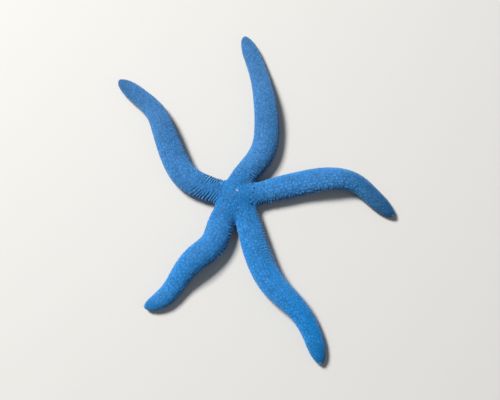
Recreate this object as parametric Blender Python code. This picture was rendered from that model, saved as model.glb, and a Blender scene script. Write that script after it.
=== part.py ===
"""Blue linckia: a five-armed sea star at life size, lying on its underside on a flat floor.

Metres, +Z up. The origin is on the floor, under the middle of the star's outline.
Each arm is a loft of cross-sections carried along a bent line that starts at the mouth,
with every other point of the loft raised as a plate. The central disc joins the five arm
roots, and each arm is cut into root, middle and tip. Tube feet stand in the furrow below.
"""

import math

import bmesh
import bpy
import numpy as np
from mathutils import Matrix, Vector

MM = 0.001
GAP = 0.3 * MM

# The disc: its centre on the floor plane, and the five directions in which the arms leave it.
DISC_CENTRE = (-13.4 * MM, -6.6 * MM)
FIRST_ARM_DEG = 13.0
ARM_STEP_DEG = 72.0
DISC_RADIUS = 14.5 * MM
DISC_TOP = 18.0 * MM
DISC_MIDDLE = 9.0 * MM
DISC_FLOOR = 1.2 * MM
ROOT_CUT = 20.0 * MM

# The arm's cross-section, as shares of its half width and of its height.
HEIGHT_OF_WIDTH = 0.84
WIDEST_AT = 0.46
LOWER_SIDE = ((0.80, 0.26), (0.95, 0.62))
PAD_OUTER = 0.55
STEPS_TO_TOP = 5

# The width along an arm, as (share of the length, share of the greatest width).
WIDTHS = (
    (0.00, 0.84),
    (0.12, 0.89),
    (0.24, 0.98),
    (0.36, 1.00),
    (0.50, 0.96),
    (0.60, 0.88),
    (0.70, 0.78),
    (0.80, 0.71),
    (0.90, 0.66),
    (1.00, 0.61),
)
TIP_LENGTH = 18.0 * MM
TIP_BLUNTNESS = 0.52
TIP_CENTRE = 0.50

# The furrow along the underside, which holds the tube feet, and the mouth where the furrows meet.
FURROW_HALF = 2.7 * MM
FURROW_SHARE = 0.34
FURROW_DEPTH = 3.2 * MM
FURROW_ROOF = 0.62
MOUTH_RADIUS = 4.6 * MM
MOUTH_DEPTH = 4.6 * MM

# How far the underside stands off the floor: at the mouth, and at each tip.
MOUTH_LIFT = 1.5 * MM
MOUTH_LIFT_REACH = 24.0 * MM
TIP_LIFT = 1.6 * MM
TIP_LIFT_FROM = 0.90

# Rings of the loft. Plates rise on every other point of each ring, down to the lower side, in a quincunx.
RING_STEP = 3.4 * MM
TIP_RINGS = 7
RINGS_IN_DISC = 7
PLATE_RISE = 0.42 * MM
PLATE_SPREAD = 0.3
SEED = 7

# Tube feet: two rows in each furrow, set turn and turn about, each a stalk that flares to a sucker.
FOOT_PITCH = 4.5 * MM
FOOT_FROM_MIDDLE = 1.15 * MM
FOOT_ROOT = 0.75 * MM
FOOT_NECK = 0.62 * MM
FOOT_SUCKER = 1.05 * MM
FOOT_SUNK = 0.8 * MM
FOOT_OFF_FLOOR = 0.4 * MM
FOOT_FLARE = 0.35
FOOT_SIDES = 6
FEET_FROM = 8.0 * MM
FEET_STOP_BEFORE_TIP = 13.0 * MM

# The blunt spines that lean in over the mouth, a few on each of its corners.
JAW_SPINES = 3
JAW_SPINE_LENGTH = 3.2 * MM
JAW_SPINE_RADIUS = 0.55 * MM
JAW_SPINE_TIP = 0.45
JAW_SPINE_SIDES = 5
JAW_SPINE_FAN_DEG = 17.0
JAW_SPINE_TILT_DEG = 100.0
JAW_SPINE_LEVEL = 2.6 * MM

# The sieve plate, a small button between two arms on the upper side.
SIEVE_AZIMUTH_DEG = 83.0
SIEVE_FROM_CENTRE = 4.4 * MM
SIEVE_RADIUS = 1.8 * MM
SIEVE_HEIGHT = 1.1 * MM
SIEVE_SUNK = 0.7 * MM
SIEVE_SIDES = 16

# Each arm: its greatest width, its line as (x, y) in mm from the disc's centre, its arch off the floor as
# (share of the length, half length in shares, height in mm), and the shares of the length where it is cut.
ARMS = {
    "right": {
        "width": 20.0 * MM,
        "line": ((25, 6.2), (50, 12.2), (76, 15.7), (96, 12.6), (111.2, 0.2), (126, -13.8)),
        "arch": (0.58, 0.26, 4.5),
        "cuts": (0.43, 0.72),
    },
    "top": {
        "width": 21.0 * MM,
        "line": ((10.8, 25), (21.0, 39.5), (24.4, 60), (22.4, 85), (17.4, 109), (5.4, 142.2)),
        "arch": (0.60, 0.26, 3.0),
        "cuts": (0.38, 0.68),
    },
    "upper_left": {
        "width": 21.4 * MM,
        "line": (
            (-25, 9.4), (-41, 18.2), (-50.2, 32.5), (-58.7, 53.9),
            (-67.4, 73.2), (-83.7, 89.6), (-99.4, 102.3),
        ),
        "arch": (0.62, 0.24, 2.5),
        "cuts": (0.37, 0.68),
    },
    "lower_left": {
        "width": 21.4 * MM,
        "line": ((-13.4, -22), (-18.3, -36), (-31.0, -47.7), (-43.0, -61.1), (-56.9, -78.7), (-71.8, -86)),
        "arch": (0.55, 0.22, 3.5),
        "cuts": (0.42, 0.72),
    },
    "lower_right": {
        "width": 21.4 * MM,
        "line": ((10.5, -24), (17.8, -48.3), (29.2, -69.5), (46.3, -86.8), (56.8, -103.4), (64.8, -129.2)),
        "arch": (0.60, 0.24, 2.0),
        "cuts": (0.38, 0.68),
    },
}
LENGTHS = ("root", "middle", "tip")
STRAIGHT_ROOT = 12.0 * MM

SKIN_BLUE = (0.045, 0.19, 0.50, 1.0)
SIEVE_BLUE = (0.10, 0.24, 0.52, 1.0)

# Points of a cross-section: the furrow's roof, then each side's furrow, pad, lower side and upper side,
# and the top.
PLATE_POINTS_EACH_SIDE = STEPS_TO_TOP + len(LOWER_SIDE)
TOP_POINT = PLATE_POINTS_EACH_SIDE + 4
RING_POINTS = 2 * TOP_POINT


def clear_scene():
    for obj in list(bpy.data.objects):
        bpy.data.objects.remove(obj, do_unlink=True)


def material(name, colour, roughness):
    made = bpy.data.materials.new(name)
    made.use_nodes = True
    shader = made.node_tree.nodes["Principled BSDF"]
    shader.inputs["Base Color"].default_value = colour
    shader.inputs["Roughness"].default_value = roughness
    shader.inputs["Metallic"].default_value = 0.0
    return made


def natural_spline(knots, values, at):
    """A smooth curve through the values, with no bend at its two ends: the natural cubic spline."""
    knots, values = np.asarray(knots, float), np.asarray(values, float)
    step = np.diff(knots)
    slope = np.diff(values) / step
    system = np.eye(len(knots))
    bends = np.zeros(len(knots))
    for i in range(1, len(knots) - 1):
        system[i, i - 1 : i + 2] = step[i - 1], 2 * (step[i - 1] + step[i]), step[i]
        bends[i] = 6 * (slope[i] - slope[i - 1])
    second = np.linalg.solve(system, bends)
    k = np.clip(np.searchsorted(knots, at, side="right") - 1, 0, len(step) - 1)
    left, right = at - knots[k], knots[k + 1] - at
    return (
        (second[k] * right**3 + second[k + 1] * left**3) / (6 * step[k])
        + (values[k] / step[k] - second[k] * step[k] / 6) * right
        + (values[k + 1] / step[k] - second[k + 1] * step[k] / 6) * left
    )


def hump(x):
    """1 at 0, falling smoothly to exactly 0 at -1 and 1."""
    return math.cos(math.pi / 2 * x) ** 2 if abs(x) < 1 else 0.0


class Arm:
    """One arm's line and sizes, read at any distance s along it from the mouth."""

    SAMPLES = 600

    def __init__(self, name, azimuth_deg, chance):
        facts = ARMS[name]
        self.name = name
        self.width = facts["width"]
        self.arch = facts["arch"]
        self.cuts = facts["cuts"]
        out = np.array([math.cos(math.radians(azimuth_deg)), math.sin(math.radians(azimuth_deg))])
        points = np.vstack([out * 0.0, out * STRAIGHT_ROOT, np.array(facts["line"]) * MM])
        chords = np.r_[0, np.cumsum(np.linalg.norm(np.diff(points, axis=0), axis=1))]
        fine = np.linspace(0, chords[-1], self.SAMPLES)
        self.line = np.column_stack([natural_spline(chords, points[:, i], fine) for i in (0, 1)])
        self.line += DISC_CENTRE
        self.run = np.r_[0, np.cumsum(np.linalg.norm(np.diff(self.line, axis=0), axis=1))]
        self.length = self.run[-1]
        self.tip_from = self.length - TIP_LENGTH
        self.tip_half = self.half_width(self.tip_from)
        self.stations = self.ring_stations()
        rings = len(self.stations) + RINGS_IN_DISC
        self.plate_sizes = chance.uniform(1 - PLATE_SPREAD, 1 + PLATE_SPREAD, (rings, RING_POINTS))

    def ring_stations(self):
        """Distances of the rings from the root's cut to the tip, closer together where it rounds off."""
        count = round((self.tip_from - ROOT_CUT) / RING_STEP) + 1
        turns = np.linspace(0, math.pi / 2, TIP_RINGS + 1)[1:-1]
        rounding = self.tip_from + TIP_LENGTH * np.sin(turns)
        return np.r_[np.linspace(ROOT_CUT, self.tip_from, count), rounding]

    def place(self, s):
        """The line's point at s and its level directions, along and across to the right.

        Behind the mouth the line runs straight on.
        """
        inside = max(s, 0.0)
        step = 0.5 * MM
        spots = max(inside - step, 0.0), min(inside + step, self.length), inside
        behind, ahead, here = (
            np.array([np.interp(spot, self.run, self.line[:, i]) for i in (0, 1)]) for spot in spots
        )
        along = (ahead - behind) / np.linalg.norm(ahead - behind)
        return here + along * min(s, 0.0), along, np.array([along[1], -along[0]])

    def half_width(self, s):
        shares, sizes = zip(*WIDTHS)
        share = min(max(s / self.length, 0.0), 1.0)
        half = self.width / 2 * float(natural_spline(shares, sizes, np.array(share)))
        into_tip = min(max(0.0, (s - self.tip_from) / TIP_LENGTH), 1.0)
        return half * (1 - into_tip**2) ** TIP_BLUNTNESS

    def size(self, s):
        """1 along the arm, falling to 0 where the tip rounds off."""
        return min(1.0, self.half_width(s) / self.tip_half)

    def furrow(self, s):
        """The furrow's half width and its depth."""
        return min(FURROW_HALF, FURROW_SHARE * self.half_width(s)), FURROW_DEPTH * self.size(s)

    def underside(self, s):
        """The level of the pads: the lift off the floor, and the rounded tip's rise to its middle."""
        share = max(s, 0.0) / self.length
        centre, reach, height = self.arch
        lift = MOUTH_LIFT * hump(max(s, 0.0) / MOUTH_LIFT_REACH)
        lift += height * MM * hump((share - centre) / reach)
        lift += TIP_LIFT * max(0.0, (share - TIP_LIFT_FROM) / (1 - TIP_LIFT_FROM)) ** 2
        waist_drop = 2 * self.tip_half * HEIGHT_OF_WIDTH * WIDEST_AT * (1 - self.size(s))
        return lift + TIP_CENTRE * waist_drop

    def ring(self, s, number, with_furrow=True):
        """The cross-section at s, upright across the line. Its number sets which points rise."""
        here, _, across = self.place(s)
        furrow, depth = self.furrow(s)
        outline = cross_section(self.half_width(s), furrow, depth if with_furrow else 0.0)
        raise_plates(outline, number, self.plate_sizes[number] * self.size(s))
        return np.column_stack([here + outline[:, :1] * across, outline[:, 1] + self.underside(s)])


def cross_section(half, furrow, depth):
    """The outline at one ring as (across, up), from the furrow's roof round the right side and over the top.

    The upper part is half an ellipse, the lower side comes in to a flat pad, and the furrow runs
    between the pads.
    """
    height = 2 * half * HEIGHT_OF_WIDTH
    waist = height * WIDEST_AT
    right = [(furrow * FURROW_ROOF, depth), (furrow, 0.0), (PAD_OUTER * half, 0.0)]
    right += [(across * half, up * waist) for across, up in LOWER_SIDE]
    turns = [math.pi / 2 * i / STEPS_TO_TOP for i in range(STEPS_TO_TOP)]
    right += [(half * math.cos(t), waist + (height - waist) * math.sin(t)) for t in turns]
    left = [(-across, up) for across, up in reversed(right)]
    return np.array([(0.0, depth), *right, (0.0, height), *left])


def is_raised(ring, point):
    return (ring + point) % 2 == 1


def raise_plates(outline, number, sizes):
    """Raises every other point of the outline above the pads, and those between on the next ring."""
    run = np.roll(outline, -1, axis=0) - np.roll(outline, 1, axis=0)
    outward = np.column_stack([run[:, 1], -run[:, 0]]) / np.linalg.norm(run, axis=1)[:, None]
    for i in range(TOP_POINT - PLATE_POINTS_EACH_SIDE, TOP_POINT + PLATE_POINTS_EACH_SIDE + 1):
        if is_raised(number, i):
            outline[i] += outward[i] * PLATE_RISE * sizes[i]


def mesh_object(name, made):
    mesh = bpy.data.meshes.new(name)
    made.to_mesh(mesh)
    made.free()
    obj = bpy.data.objects.new(name, mesh)
    bpy.context.scene.collection.objects.link(obj)
    return obj


def loft(name, rings, tip_point=None, first=0):
    """A closed mesh through the rings, with a flat cap at each end, or drawn to a point at the far one.

    Each square is split between its two low points, so that a raised point stands alone as a plate.
    """
    made = bmesh.new()
    loops = [[made.verts.new(p) for p in ring] for ring in rings]
    sides = len(loops[0])
    for number, (a, b) in enumerate(zip(loops, loops[1:]), first):
        for i in range(sides):
            here, beside, beyond, ahead = a[i], a[(i + 1) % sides], b[(i + 1) % sides], b[i]
            if is_raised(number, i):
                made.faces.new((here, beside, ahead))
                made.faces.new((beside, beyond, ahead))
            else:
                made.faces.new((here, beside, beyond))
                made.faces.new((here, beyond, ahead))
    made.faces.new(tuple(reversed(loops[0])))
    if tip_point is None:
        made.faces.new(tuple(loops[-1]))
    else:
        end = made.verts.new(tip_point)
        for i in range(sides):
            made.faces.new((loops[-1][i], loops[-1][(i + 1) % sides], end))
    bmesh.ops.recalc_face_normals(made, faces=made.faces)
    return mesh_object(name, made)


def turned(name, profile, sides, at):
    """A shape turned about an upright axis: rings of (radius, height), closed at the top and bottom."""
    turns = np.linspace(0, 2 * math.pi, sides, endpoint=False)
    rings = [[(at[0] + r * math.cos(t), at[1] + r * math.sin(t), z) for t in turns] for r, z in profile]
    return loft(name, rings)


def combine(target, others, operation, label):
    """One Boolean of the target with all the others together, applied, with the others then removed."""
    group = bpy.data.collections.new(label)
    bpy.context.scene.collection.children.link(group)
    for other in others:
        bpy.context.scene.collection.objects.unlink(other)
        group.objects.link(other)
    boolean = target.modifiers.new(label, "BOOLEAN")
    boolean.operation = operation
    boolean.operand_type = "COLLECTION"
    boolean.collection = group
    boolean.solver = "EXACT"
    graph = bpy.context.evaluated_depsgraph_get()
    joined = bpy.data.meshes.new_from_object(target.evaluated_get(graph))
    target.modifiers.clear()
    target.data = joined
    for other in others:
        bpy.data.objects.remove(other, do_unlink=True)
    bpy.data.collections.remove(group)


def keep_largest_surface(obj):
    """Drops all but the largest closed surface of a mesh, such as the walls of a sealed hollow."""
    made = bmesh.new()
    made.from_mesh(obj.data)
    left, surfaces = set(made.verts), []
    while left:
        found, frontier = set(), [left.pop()]
        while frontier:
            vert = frontier.pop()
            found.add(vert)
            near = {edge.other_vert(vert) for edge in vert.link_edges} & left
            left -= near
            frontier += near
        surfaces.append(found)
    surfaces.sort(key=len)
    bmesh.ops.delete(made, geom=[v for found in surfaces[:-1] for v in found], context="VERTS")
    made.to_mesh(obj.data)
    made.free()


def tube_foot(arm, s, side):
    """One foot: from inside the furrow's roof down to its sucker, just off the floor."""
    here, _, across = arm.place(s)
    size = arm.size(s)
    roof = arm.underside(s) + arm.furrow(s)[1]
    neck = FOOT_OFF_FLOOR + FOOT_FLARE * (FURROW_DEPTH - FOOT_OFF_FLOOR)
    profile = (
        (FOOT_SUCKER * size, FOOT_OFF_FLOOR),
        (FOOT_NECK * size, neck),
        (FOOT_ROOT * size, roof + FOOT_SUNK * size),
    )
    return turned("foot", profile, FOOT_SIDES, here + across * side * FOOT_FROM_MIDDLE * size)


def tube_feet(arm, start, end):
    """The feet that stand clear between start and end, at places counted from the mouth."""
    start, end = start + FOOT_SUCKER + GAP, end - FOOT_SUCKER - GAP
    places = FEET_FROM + FOOT_PITCH * np.arange(int(arm.length / FOOT_PITCH))
    sides = (-1) ** np.arange(len(places))
    last = arm.length - FEET_STOP_BEFORE_TIP
    return [tube_foot(arm, s, side) for s, side in zip(places, sides) if start < s < min(end, last)]


def arm_length_object(name, arm, first, last):
    """One length of an arm, from its first ring to its last. The tip is drawn to the arm's rounded end."""
    spots = arm.stations[first : last + 1].copy()
    spots[0] += GAP / 2
    is_tip = last == len(arm.stations) - 1
    if not is_tip:
        spots[-1] -= GAP / 2
    rings = [arm.ring(s, number) for number, s in enumerate(spots, first)]
    if not is_tip:
        return loft(name, rings, first=first)
    middle = (rings[-1][:, 2].min() + rings[-1][:, 2].max()) / 2
    end = arm.place(arm.length)[0]
    return loft(name, rings, (end[0], end[1], middle), first)


def build_arm(arm, skin):
    """The arm's root, middle and tip, each a closed length with a thin gap to the next."""
    cuts = [int(np.abs(arm.stations - share * arm.length).argmin()) for share in arm.cuts]
    ends = [0, *cuts, len(arm.stations) - 1]
    for label, first, last in zip(LENGTHS, ends, ends[1:]):
        piece = arm_length_object(f"arm_{arm.name}_{label}", arm, first, last)
        combine(piece, tube_feet(arm, arm.stations[first], arm.stations[last]), "UNION", "feet")
        keep_largest_surface(piece)
        piece.data.materials.append(skin)


def dome():
    """The body of the disc: an ellipsoid with a flat underside."""
    made = bmesh.new()
    bmesh.ops.create_uvsphere(made, u_segments=30, v_segments=14, radius=1.0)
    bmesh.ops.scale(made, vec=(DISC_RADIUS, DISC_RADIUS, DISC_TOP - DISC_MIDDLE), verts=made.verts)
    bmesh.ops.translate(made, vec=(*DISC_CENTRE, DISC_MIDDLE), verts=made.verts)
    floor = Vector((*DISC_CENTRE, DISC_FLOOR))
    whole = made.verts[:] + made.edges[:] + made.faces[:]
    cut = bmesh.ops.bisect_plane(made, geom=whole, plane_co=floor, plane_no=(0, 0, -1), clear_outer=True)
    rim = [edge for edge in cut["geom_cut"] if isinstance(edge, bmesh.types.BMEdge)]
    bmesh.ops.edgeloop_fill(made, edges=rim)
    bmesh.ops.recalc_face_normals(made, faces=made.faces)
    return mesh_object("disc", made)


def root_in_disc(arm):
    """The stretch of an arm inside the disc, its last ring facing the first of the arm's root."""
    first = -RINGS_IN_DISC
    spots = [ROOT_CUT - GAP / 2 + number * RING_STEP for number in range(first, 1)]
    rings = [arm.ring(s, number, with_furrow=False) for number, s in enumerate(spots, first)]
    return loft(f"root_{arm.name}", rings, first=first)


def furrow_cutter(arm):
    """The furrow under one arm's root, from the mouth to past the cut, open below."""
    below = 2 * MM
    rings = []
    for s in np.linspace(0.0, ROOT_CUT + 4 * GAP, 7):
        here, _, across = arm.place(s)
        wide, depth = arm.furrow(s)
        roof = arm.underside(s) + depth
        flare = wide * (1 + (1 - FURROW_ROOF) * below / depth)
        low = [(-flare, -below), (flare, -below)]
        high = [(wide * FURROW_ROOF, roof), (-wide * FURROW_ROOF, roof)]
        rings.append([(*(here + x * across), z) for x, z in low + high])
    return loft(f"furrow_{arm.name}", rings)


def mouth_cutter():
    """The round recess where the furrows meet, a little wider below than at its roof."""
    profile = (
        (1.15 * MOUTH_RADIUS, -2 * MM),
        (MOUTH_RADIUS, MOUTH_LIFT),
        (0.7 * MOUTH_RADIUS, MOUTH_LIFT + MOUTH_DEPTH),
    )
    return turned("mouth", profile, 20, DISC_CENTRE)


def jaw_spine(turn):
    """One blunt spine at this turn round the mouth, leaning in over it."""
    made = bmesh.new()
    bmesh.ops.create_cone(
        made,
        cap_ends=True,
        segments=JAW_SPINE_SIDES,
        radius1=JAW_SPINE_RADIUS,
        radius2=JAW_SPINE_TIP * JAW_SPINE_RADIUS,
        depth=JAW_SPINE_LENGTH,
    )
    from_centre = MOUTH_RADIUS - 0.2 * JAW_SPINE_LENGTH
    x, y = DISC_CENTRE
    at = Vector((x + from_centre * math.cos(turn), y + from_centre * math.sin(turn), JAW_SPINE_LEVEL))
    inward = Matrix.Rotation(turn + math.pi, 4, "Z")
    tilted = Matrix.Rotation(math.radians(JAW_SPINE_TILT_DEG), 4, "Y")
    bmesh.ops.transform(made, matrix=Matrix.Translation(at) @ inward @ tilted, verts=made.verts)
    return mesh_object("spine", made)


def jaw_spines():
    """The spines of all the mouth's corners, which lie between the furrows."""
    corners = [FIRST_ARM_DEG + (i + 0.5) * ARM_STEP_DEG for i in range(len(ARMS))]
    fan = [(i - (JAW_SPINES - 1) / 2) * JAW_SPINE_FAN_DEG for i in range(JAW_SPINES)]
    return [jaw_spine(math.radians(corner + turn)) for corner in corners for turn in fan]


def sieve_centre():
    turn = math.radians(SIEVE_AZIMUTH_DEG)
    x, y = DISC_CENTRE
    return x + SIEVE_FROM_CENTRE * math.cos(turn), y + SIEVE_FROM_CENTRE * math.sin(turn)


def sieve_seat():
    """The level of the pocket's floor under the sieve plate, a little below the dome there."""
    rise = math.sqrt(1 - (SIEVE_FROM_CENTRE / DISC_RADIUS) ** 2)
    return DISC_MIDDLE + (DISC_TOP - DISC_MIDDLE) * rise - SIEVE_SUNK - GAP


def sieve_pocket():
    wide = SIEVE_RADIUS + GAP
    return turned("pocket", ((wide, sieve_seat()), (wide, DISC_TOP + 2 * MM)), SIEVE_SIDES, sieve_centre())


def build_disc(arms, skin):
    """The central disc with the arm roots, the mouth, the furrows' inner ends and the first feet."""
    disc = dome()
    combine(disc, [root_in_disc(arm) for arm in arms], "UNION", "roots")
    openings = [furrow_cutter(arm) for arm in arms] + [mouth_cutter(), sieve_pocket()]
    combine(disc, openings, "DIFFERENCE", "openings")
    feet = [foot for arm in arms for foot in tube_feet(arm, 0.0, ROOT_CUT)]
    combine(disc, feet + jaw_spines(), "UNION", "feet_and_spines")
    keep_largest_surface(disc)
    disc.data.materials.append(skin)


def build_sieve_plate(made_of):
    """The sieve plate, a low rounded button that sits in its pocket in the disc."""
    base = sieve_seat() + GAP
    profile = (
        (SIEVE_RADIUS, base),
        (SIEVE_RADIUS, base + 0.6 * SIEVE_HEIGHT),
        (0.72 * SIEVE_RADIUS, base + 0.9 * SIEVE_HEIGHT),
        (0.30 * SIEVE_RADIUS, base + SIEVE_HEIGHT),
    )
    turned("sieve_plate", profile, SIEVE_SIDES, sieve_centre()).data.materials.append(made_of)


def main():
    clear_scene()
    skin = material("blue_skin", SKIN_BLUE, 0.6)
    chance = np.random.default_rng(SEED)
    arms = [Arm(name, FIRST_ARM_DEG + i * ARM_STEP_DEG, chance) for i, name in enumerate(ARMS)]
    for arm in arms:
        build_arm(arm, skin)
    build_disc(arms, skin)
    build_sieve_plate(material("sieve_blue", SIEVE_BLUE, 0.6))


main()
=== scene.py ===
# %% [markdown]
# # Dressing a blue linckia
#
# A blue linckia is a sea star with five long round arms. Its body wall is a pavement of small
# rounded plates under a skin that is grained like fine leather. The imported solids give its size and
# its pose. This script lays one unbroken skin over them, and then the grains, feet and spines.
# Everything is in metres, with the floor at z = 0.

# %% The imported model
import math

import bpy
import numpy as np
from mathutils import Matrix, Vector


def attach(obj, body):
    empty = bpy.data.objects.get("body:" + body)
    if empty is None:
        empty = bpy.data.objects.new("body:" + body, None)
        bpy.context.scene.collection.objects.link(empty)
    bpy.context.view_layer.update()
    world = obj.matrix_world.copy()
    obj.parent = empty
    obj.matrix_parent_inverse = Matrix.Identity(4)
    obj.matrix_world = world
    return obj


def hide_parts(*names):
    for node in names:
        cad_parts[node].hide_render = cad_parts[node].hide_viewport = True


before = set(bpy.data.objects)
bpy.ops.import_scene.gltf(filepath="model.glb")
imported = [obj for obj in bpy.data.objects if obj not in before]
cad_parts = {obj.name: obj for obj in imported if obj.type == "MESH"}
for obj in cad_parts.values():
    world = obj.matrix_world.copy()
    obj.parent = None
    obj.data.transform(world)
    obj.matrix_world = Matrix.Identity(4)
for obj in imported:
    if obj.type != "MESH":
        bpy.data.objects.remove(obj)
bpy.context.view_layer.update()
MM = 0.001
chance = np.random.default_rng(11)
print("solids:", sorted(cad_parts))

# %% [markdown]
# ## The five arms as functions
#
# Each arm follows a bent line from the mouth to its tip. The line could be drawn as a curve object,
# but a function of the distance s along it is handier: every later piece asks it for a place, a
# direction, a width and a height. The sizes are those of the solids, so the skin lies where they do.

# %% Sizes of the body
DISC_CENTRE = np.array([-13.4, -6.6]) * MM
ARM_TURNS = np.radians(13.0 + 72.0 * np.arange(5))
DISC_RADIUS, DISC_TOP, DISC_MIDDLE = 13.0 * MM, 14.0 * MM, 9.0 * MM
HEIGHT_OF_WIDTH, WIDEST_AT = 0.84, 0.46
WIDTH_SHARES = np.array([0, 0.12, 0.24, 0.36, 0.5, 0.6, 0.7, 0.8, 0.9, 1.0])
WIDTH_SIZES = np.array([0.84, 0.89, 0.98, 1.0, 0.96, 0.88, 0.78, 0.71, 0.66, 0.61])
STRAIGHT_START = 12 * MM
TIP_LENGTH, TIP_BLUNTNESS, TIP_CENTRE = 18.0 * MM, 0.52, 0.5
MOUTH_LIFT, MOUTH_LIFT_REACH, TIP_LIFT = 1.5 * MM, 24.0 * MM, 1.6 * MM
FURROW_HALF, FURROW_DEPTH = 2.7 * MM, 3.2 * MM
COAT_ROOM = 0.965
# Each arm's width in mm, its arch (middle and reach as shares of its length, height in mm), and its
# line's points in mm from the disc's centre.
ARMS = {
    "right": (
        20.0,
        (0.58, 0.26, 4.5),
        ((25, 6.2), (50, 12.2), (76, 15.7), (96, 12.6), (111.2, 0.2), (126, -13.8)),
    ),
    "top": (
        21.0,
        (0.60, 0.26, 3.0),
        ((10.8, 25), (21, 39.5), (24.4, 60), (22.4, 85), (17.4, 109), (5.4, 142.2)),
    ),
    "upper_left": (
        21.4,
        (0.62, 0.24, 2.5),
        ((-25, 9.4), (-41, 18.2), (-50.2, 32.5), (-58.7, 53.9), (-67.4, 73.2), (-83.7, 89.6), (-99.4, 102.3)),
    ),
    "lower_left": (
        21.4,
        (0.55, 0.22, 3.5),
        ((-13.4, -22), (-18.3, -36), (-31, -47.7), (-43, -61.1), (-56.9, -78.7), (-71.8, -86)),
    ),
    "lower_right": (
        21.4,
        (0.60, 0.24, 2.0),
        ((10.5, -24), (17.8, -48.3), (29.2, -69.5), (46.3, -86.8), (56.8, -103.4), (64.8, -129.2)),
    ),
}


# %% Curves and easing
def spline(knots, values, at):
    """Cubics through the values, with equal slopes and bends where two meet, straight at both ends."""
    knots, values = np.asarray(knots, float), np.asarray(values, float)
    step = np.diff(knots)
    slope = np.diff(values) / step
    system, bends = np.eye(len(knots)), np.zeros(len(knots))
    for i in range(1, len(knots) - 1):
        system[i, i - 1 : i + 2] = step[i - 1], 2 * (step[i - 1] + step[i]), step[i]
        bends[i] = 6 * (slope[i] - slope[i - 1])
    second = np.linalg.solve(system, bends)
    k = np.clip(np.searchsorted(knots, at, side="right") - 1, 0, len(step) - 1)
    left, right = at - knots[k], knots[k + 1] - at
    return (
        (second[k] * right**3 + second[k + 1] * left**3) / (6 * step[k])
        + (values[k] / step[k] - second[k] * step[k] / 6) * right
        + (values[k + 1] / step[k] - second[k + 1] * step[k] / 6) * left
    )


def hump(x):
    """The square of a cosine: 1 at 0, and 0 from -1 outwards and from 1 outwards."""
    return np.cos(math.pi / 2 * np.clip(x, -1, 1)) ** 2


def ease(x, low, high):
    """3t² - 2t³ on t, the share of the way from low to high: an S from 0 to 1."""
    t = np.clip((x - low) / (high - low), 0, 1)
    return t * t * (3 - 2 * t)


# %% One arm, read at any distance from the mouth
class Arm:
    """An arm's line and sizes. Each method takes an array of distances s from the mouth."""

    def __init__(self, name, turn):
        width, self.arch, line = ARMS[name]
        self.name, self.width = name, width * MM
        out = np.array([math.cos(turn), math.sin(turn)])
        points = np.vstack([0 * out, STRAIGHT_START * out, np.array(line) * MM])
        chords = np.r_[0, np.cumsum(np.linalg.norm(np.diff(points, axis=0), axis=1))]
        fine = np.linspace(0, chords[-1], 1500)
        self.line = np.column_stack([spline(chords, points[:, i], fine) for i in (0, 1)]) + DISC_CENTRE
        self.run = np.r_[0, np.cumsum(np.linalg.norm(np.diff(self.line, axis=0), axis=1))]
        self.length = self.run[-1]
        slopes = np.gradient(self.line, self.run, axis=0)
        self.slopes = slopes / np.linalg.norm(slopes, axis=1)[:, None]
        self.tip_from = self.length - TIP_LENGTH
        self.tip_half = self.half_width(np.array([self.tip_from]))[0]

    def place(self, s):
        """The line's point, its direction and the level one to its right. Behind the mouth it is straight."""
        inside = np.clip(s, 0, self.length)
        here = np.stack([np.interp(inside, self.run, self.line[:, i]) for i in (0, 1)], -1)
        along = np.stack([np.interp(inside, self.run, self.slopes[:, i]) for i in (0, 1)], -1)
        along = along / np.linalg.norm(along, axis=-1, keepdims=True)
        here = here + along * np.minimum(s, 0)[..., None]
        return here, along, np.stack([along[..., 1], -along[..., 0]], -1)

    def half_width(self, s):
        """Half the width: a spline along the arm, closed at the tip as a power of a circle's height."""
        share = np.clip(s / self.length, 0, 1)
        half = self.width / 2 * spline(WIDTH_SHARES, WIDTH_SIZES, share)
        into_tip = np.clip((s - self.tip_from) / TIP_LENGTH, 0, 1)
        return COAT_ROOM * half * (1 - into_tip**2) ** TIP_BLUNTNESS

    def size(self, s):
        """1 along the arm, and falling to 0 as the tip rounds off."""
        return np.minimum(1, self.half_width(s) / self.tip_half)

    def underside(self, s):
        """The pads' height: humps at the mouth and the arch, a square at the tip, and up to its middle."""
        share = np.maximum(s, 0) / self.length
        centre, reach, height = self.arch
        lift = MOUTH_LIFT * hump(np.maximum(s, 0) / MOUTH_LIFT_REACH)
        lift += height * MM * hump((share - centre) / reach)
        lift += TIP_LIFT * np.clip((share - 0.9) / 0.1, 0, None) ** 2
        return lift + TIP_CENTRE * 2 * self.tip_half * HEIGHT_OF_WIDTH * WIDEST_AT * (1 - self.size(s))

    def furrow(self, s):
        """The furrow's half width and depth."""
        return np.minimum(FURROW_HALF, 0.34 * self.half_width(s)), FURROW_DEPTH * self.size(s)


arms = [Arm(name, turn) for name, turn in zip(ARMS, ARM_TURNS)]
print("arms, mm:", {arm.name: round(arm.length / MM) for arm in arms})

# %% [markdown]
# ## The shape of the skin
#
# Across an arm the skin is half an ellipse above and a flatter curve below, with a furrow between
# two pads. Near the mouth five arms run into a low dome. Joining them with a Boolean would leave
# sharp creases, so the body there is a field: each arm and the dome give a number that is 0 on
# their surface, and a soft minimum of the six numbers rounds the hollows between them. Points of
# a grid are then slid outwards, each along its own line from inside the body, until it reads 0.

# %% The field near the mouth
LOWER_POWER, LOWER_DROP = 2.6, 1.06
SOFTNESS, ROUND_BEHIND, DOME_SCALE = 1.9 * MM, 7 * MM, 10 * MM
NEAR_STEPS = np.arange(-6, 62, 1.0) * MM


def beside_line(arm, xy):
    """For each point: the distance s of the line's nearest spot, and the offset to its right."""
    here, along, _ = arm.place(NEAR_STEPS)
    nearest = ((xy[:, None, :] - here[None]) ** 2).sum(-1).argmin(1)
    away = xy - here[nearest]
    s = NEAR_STEPS[nearest] + (away * along[nearest]).sum(-1)
    here, _, across = arm.place(s)
    return s, ((xy - here) * across).sum(-1)


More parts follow.
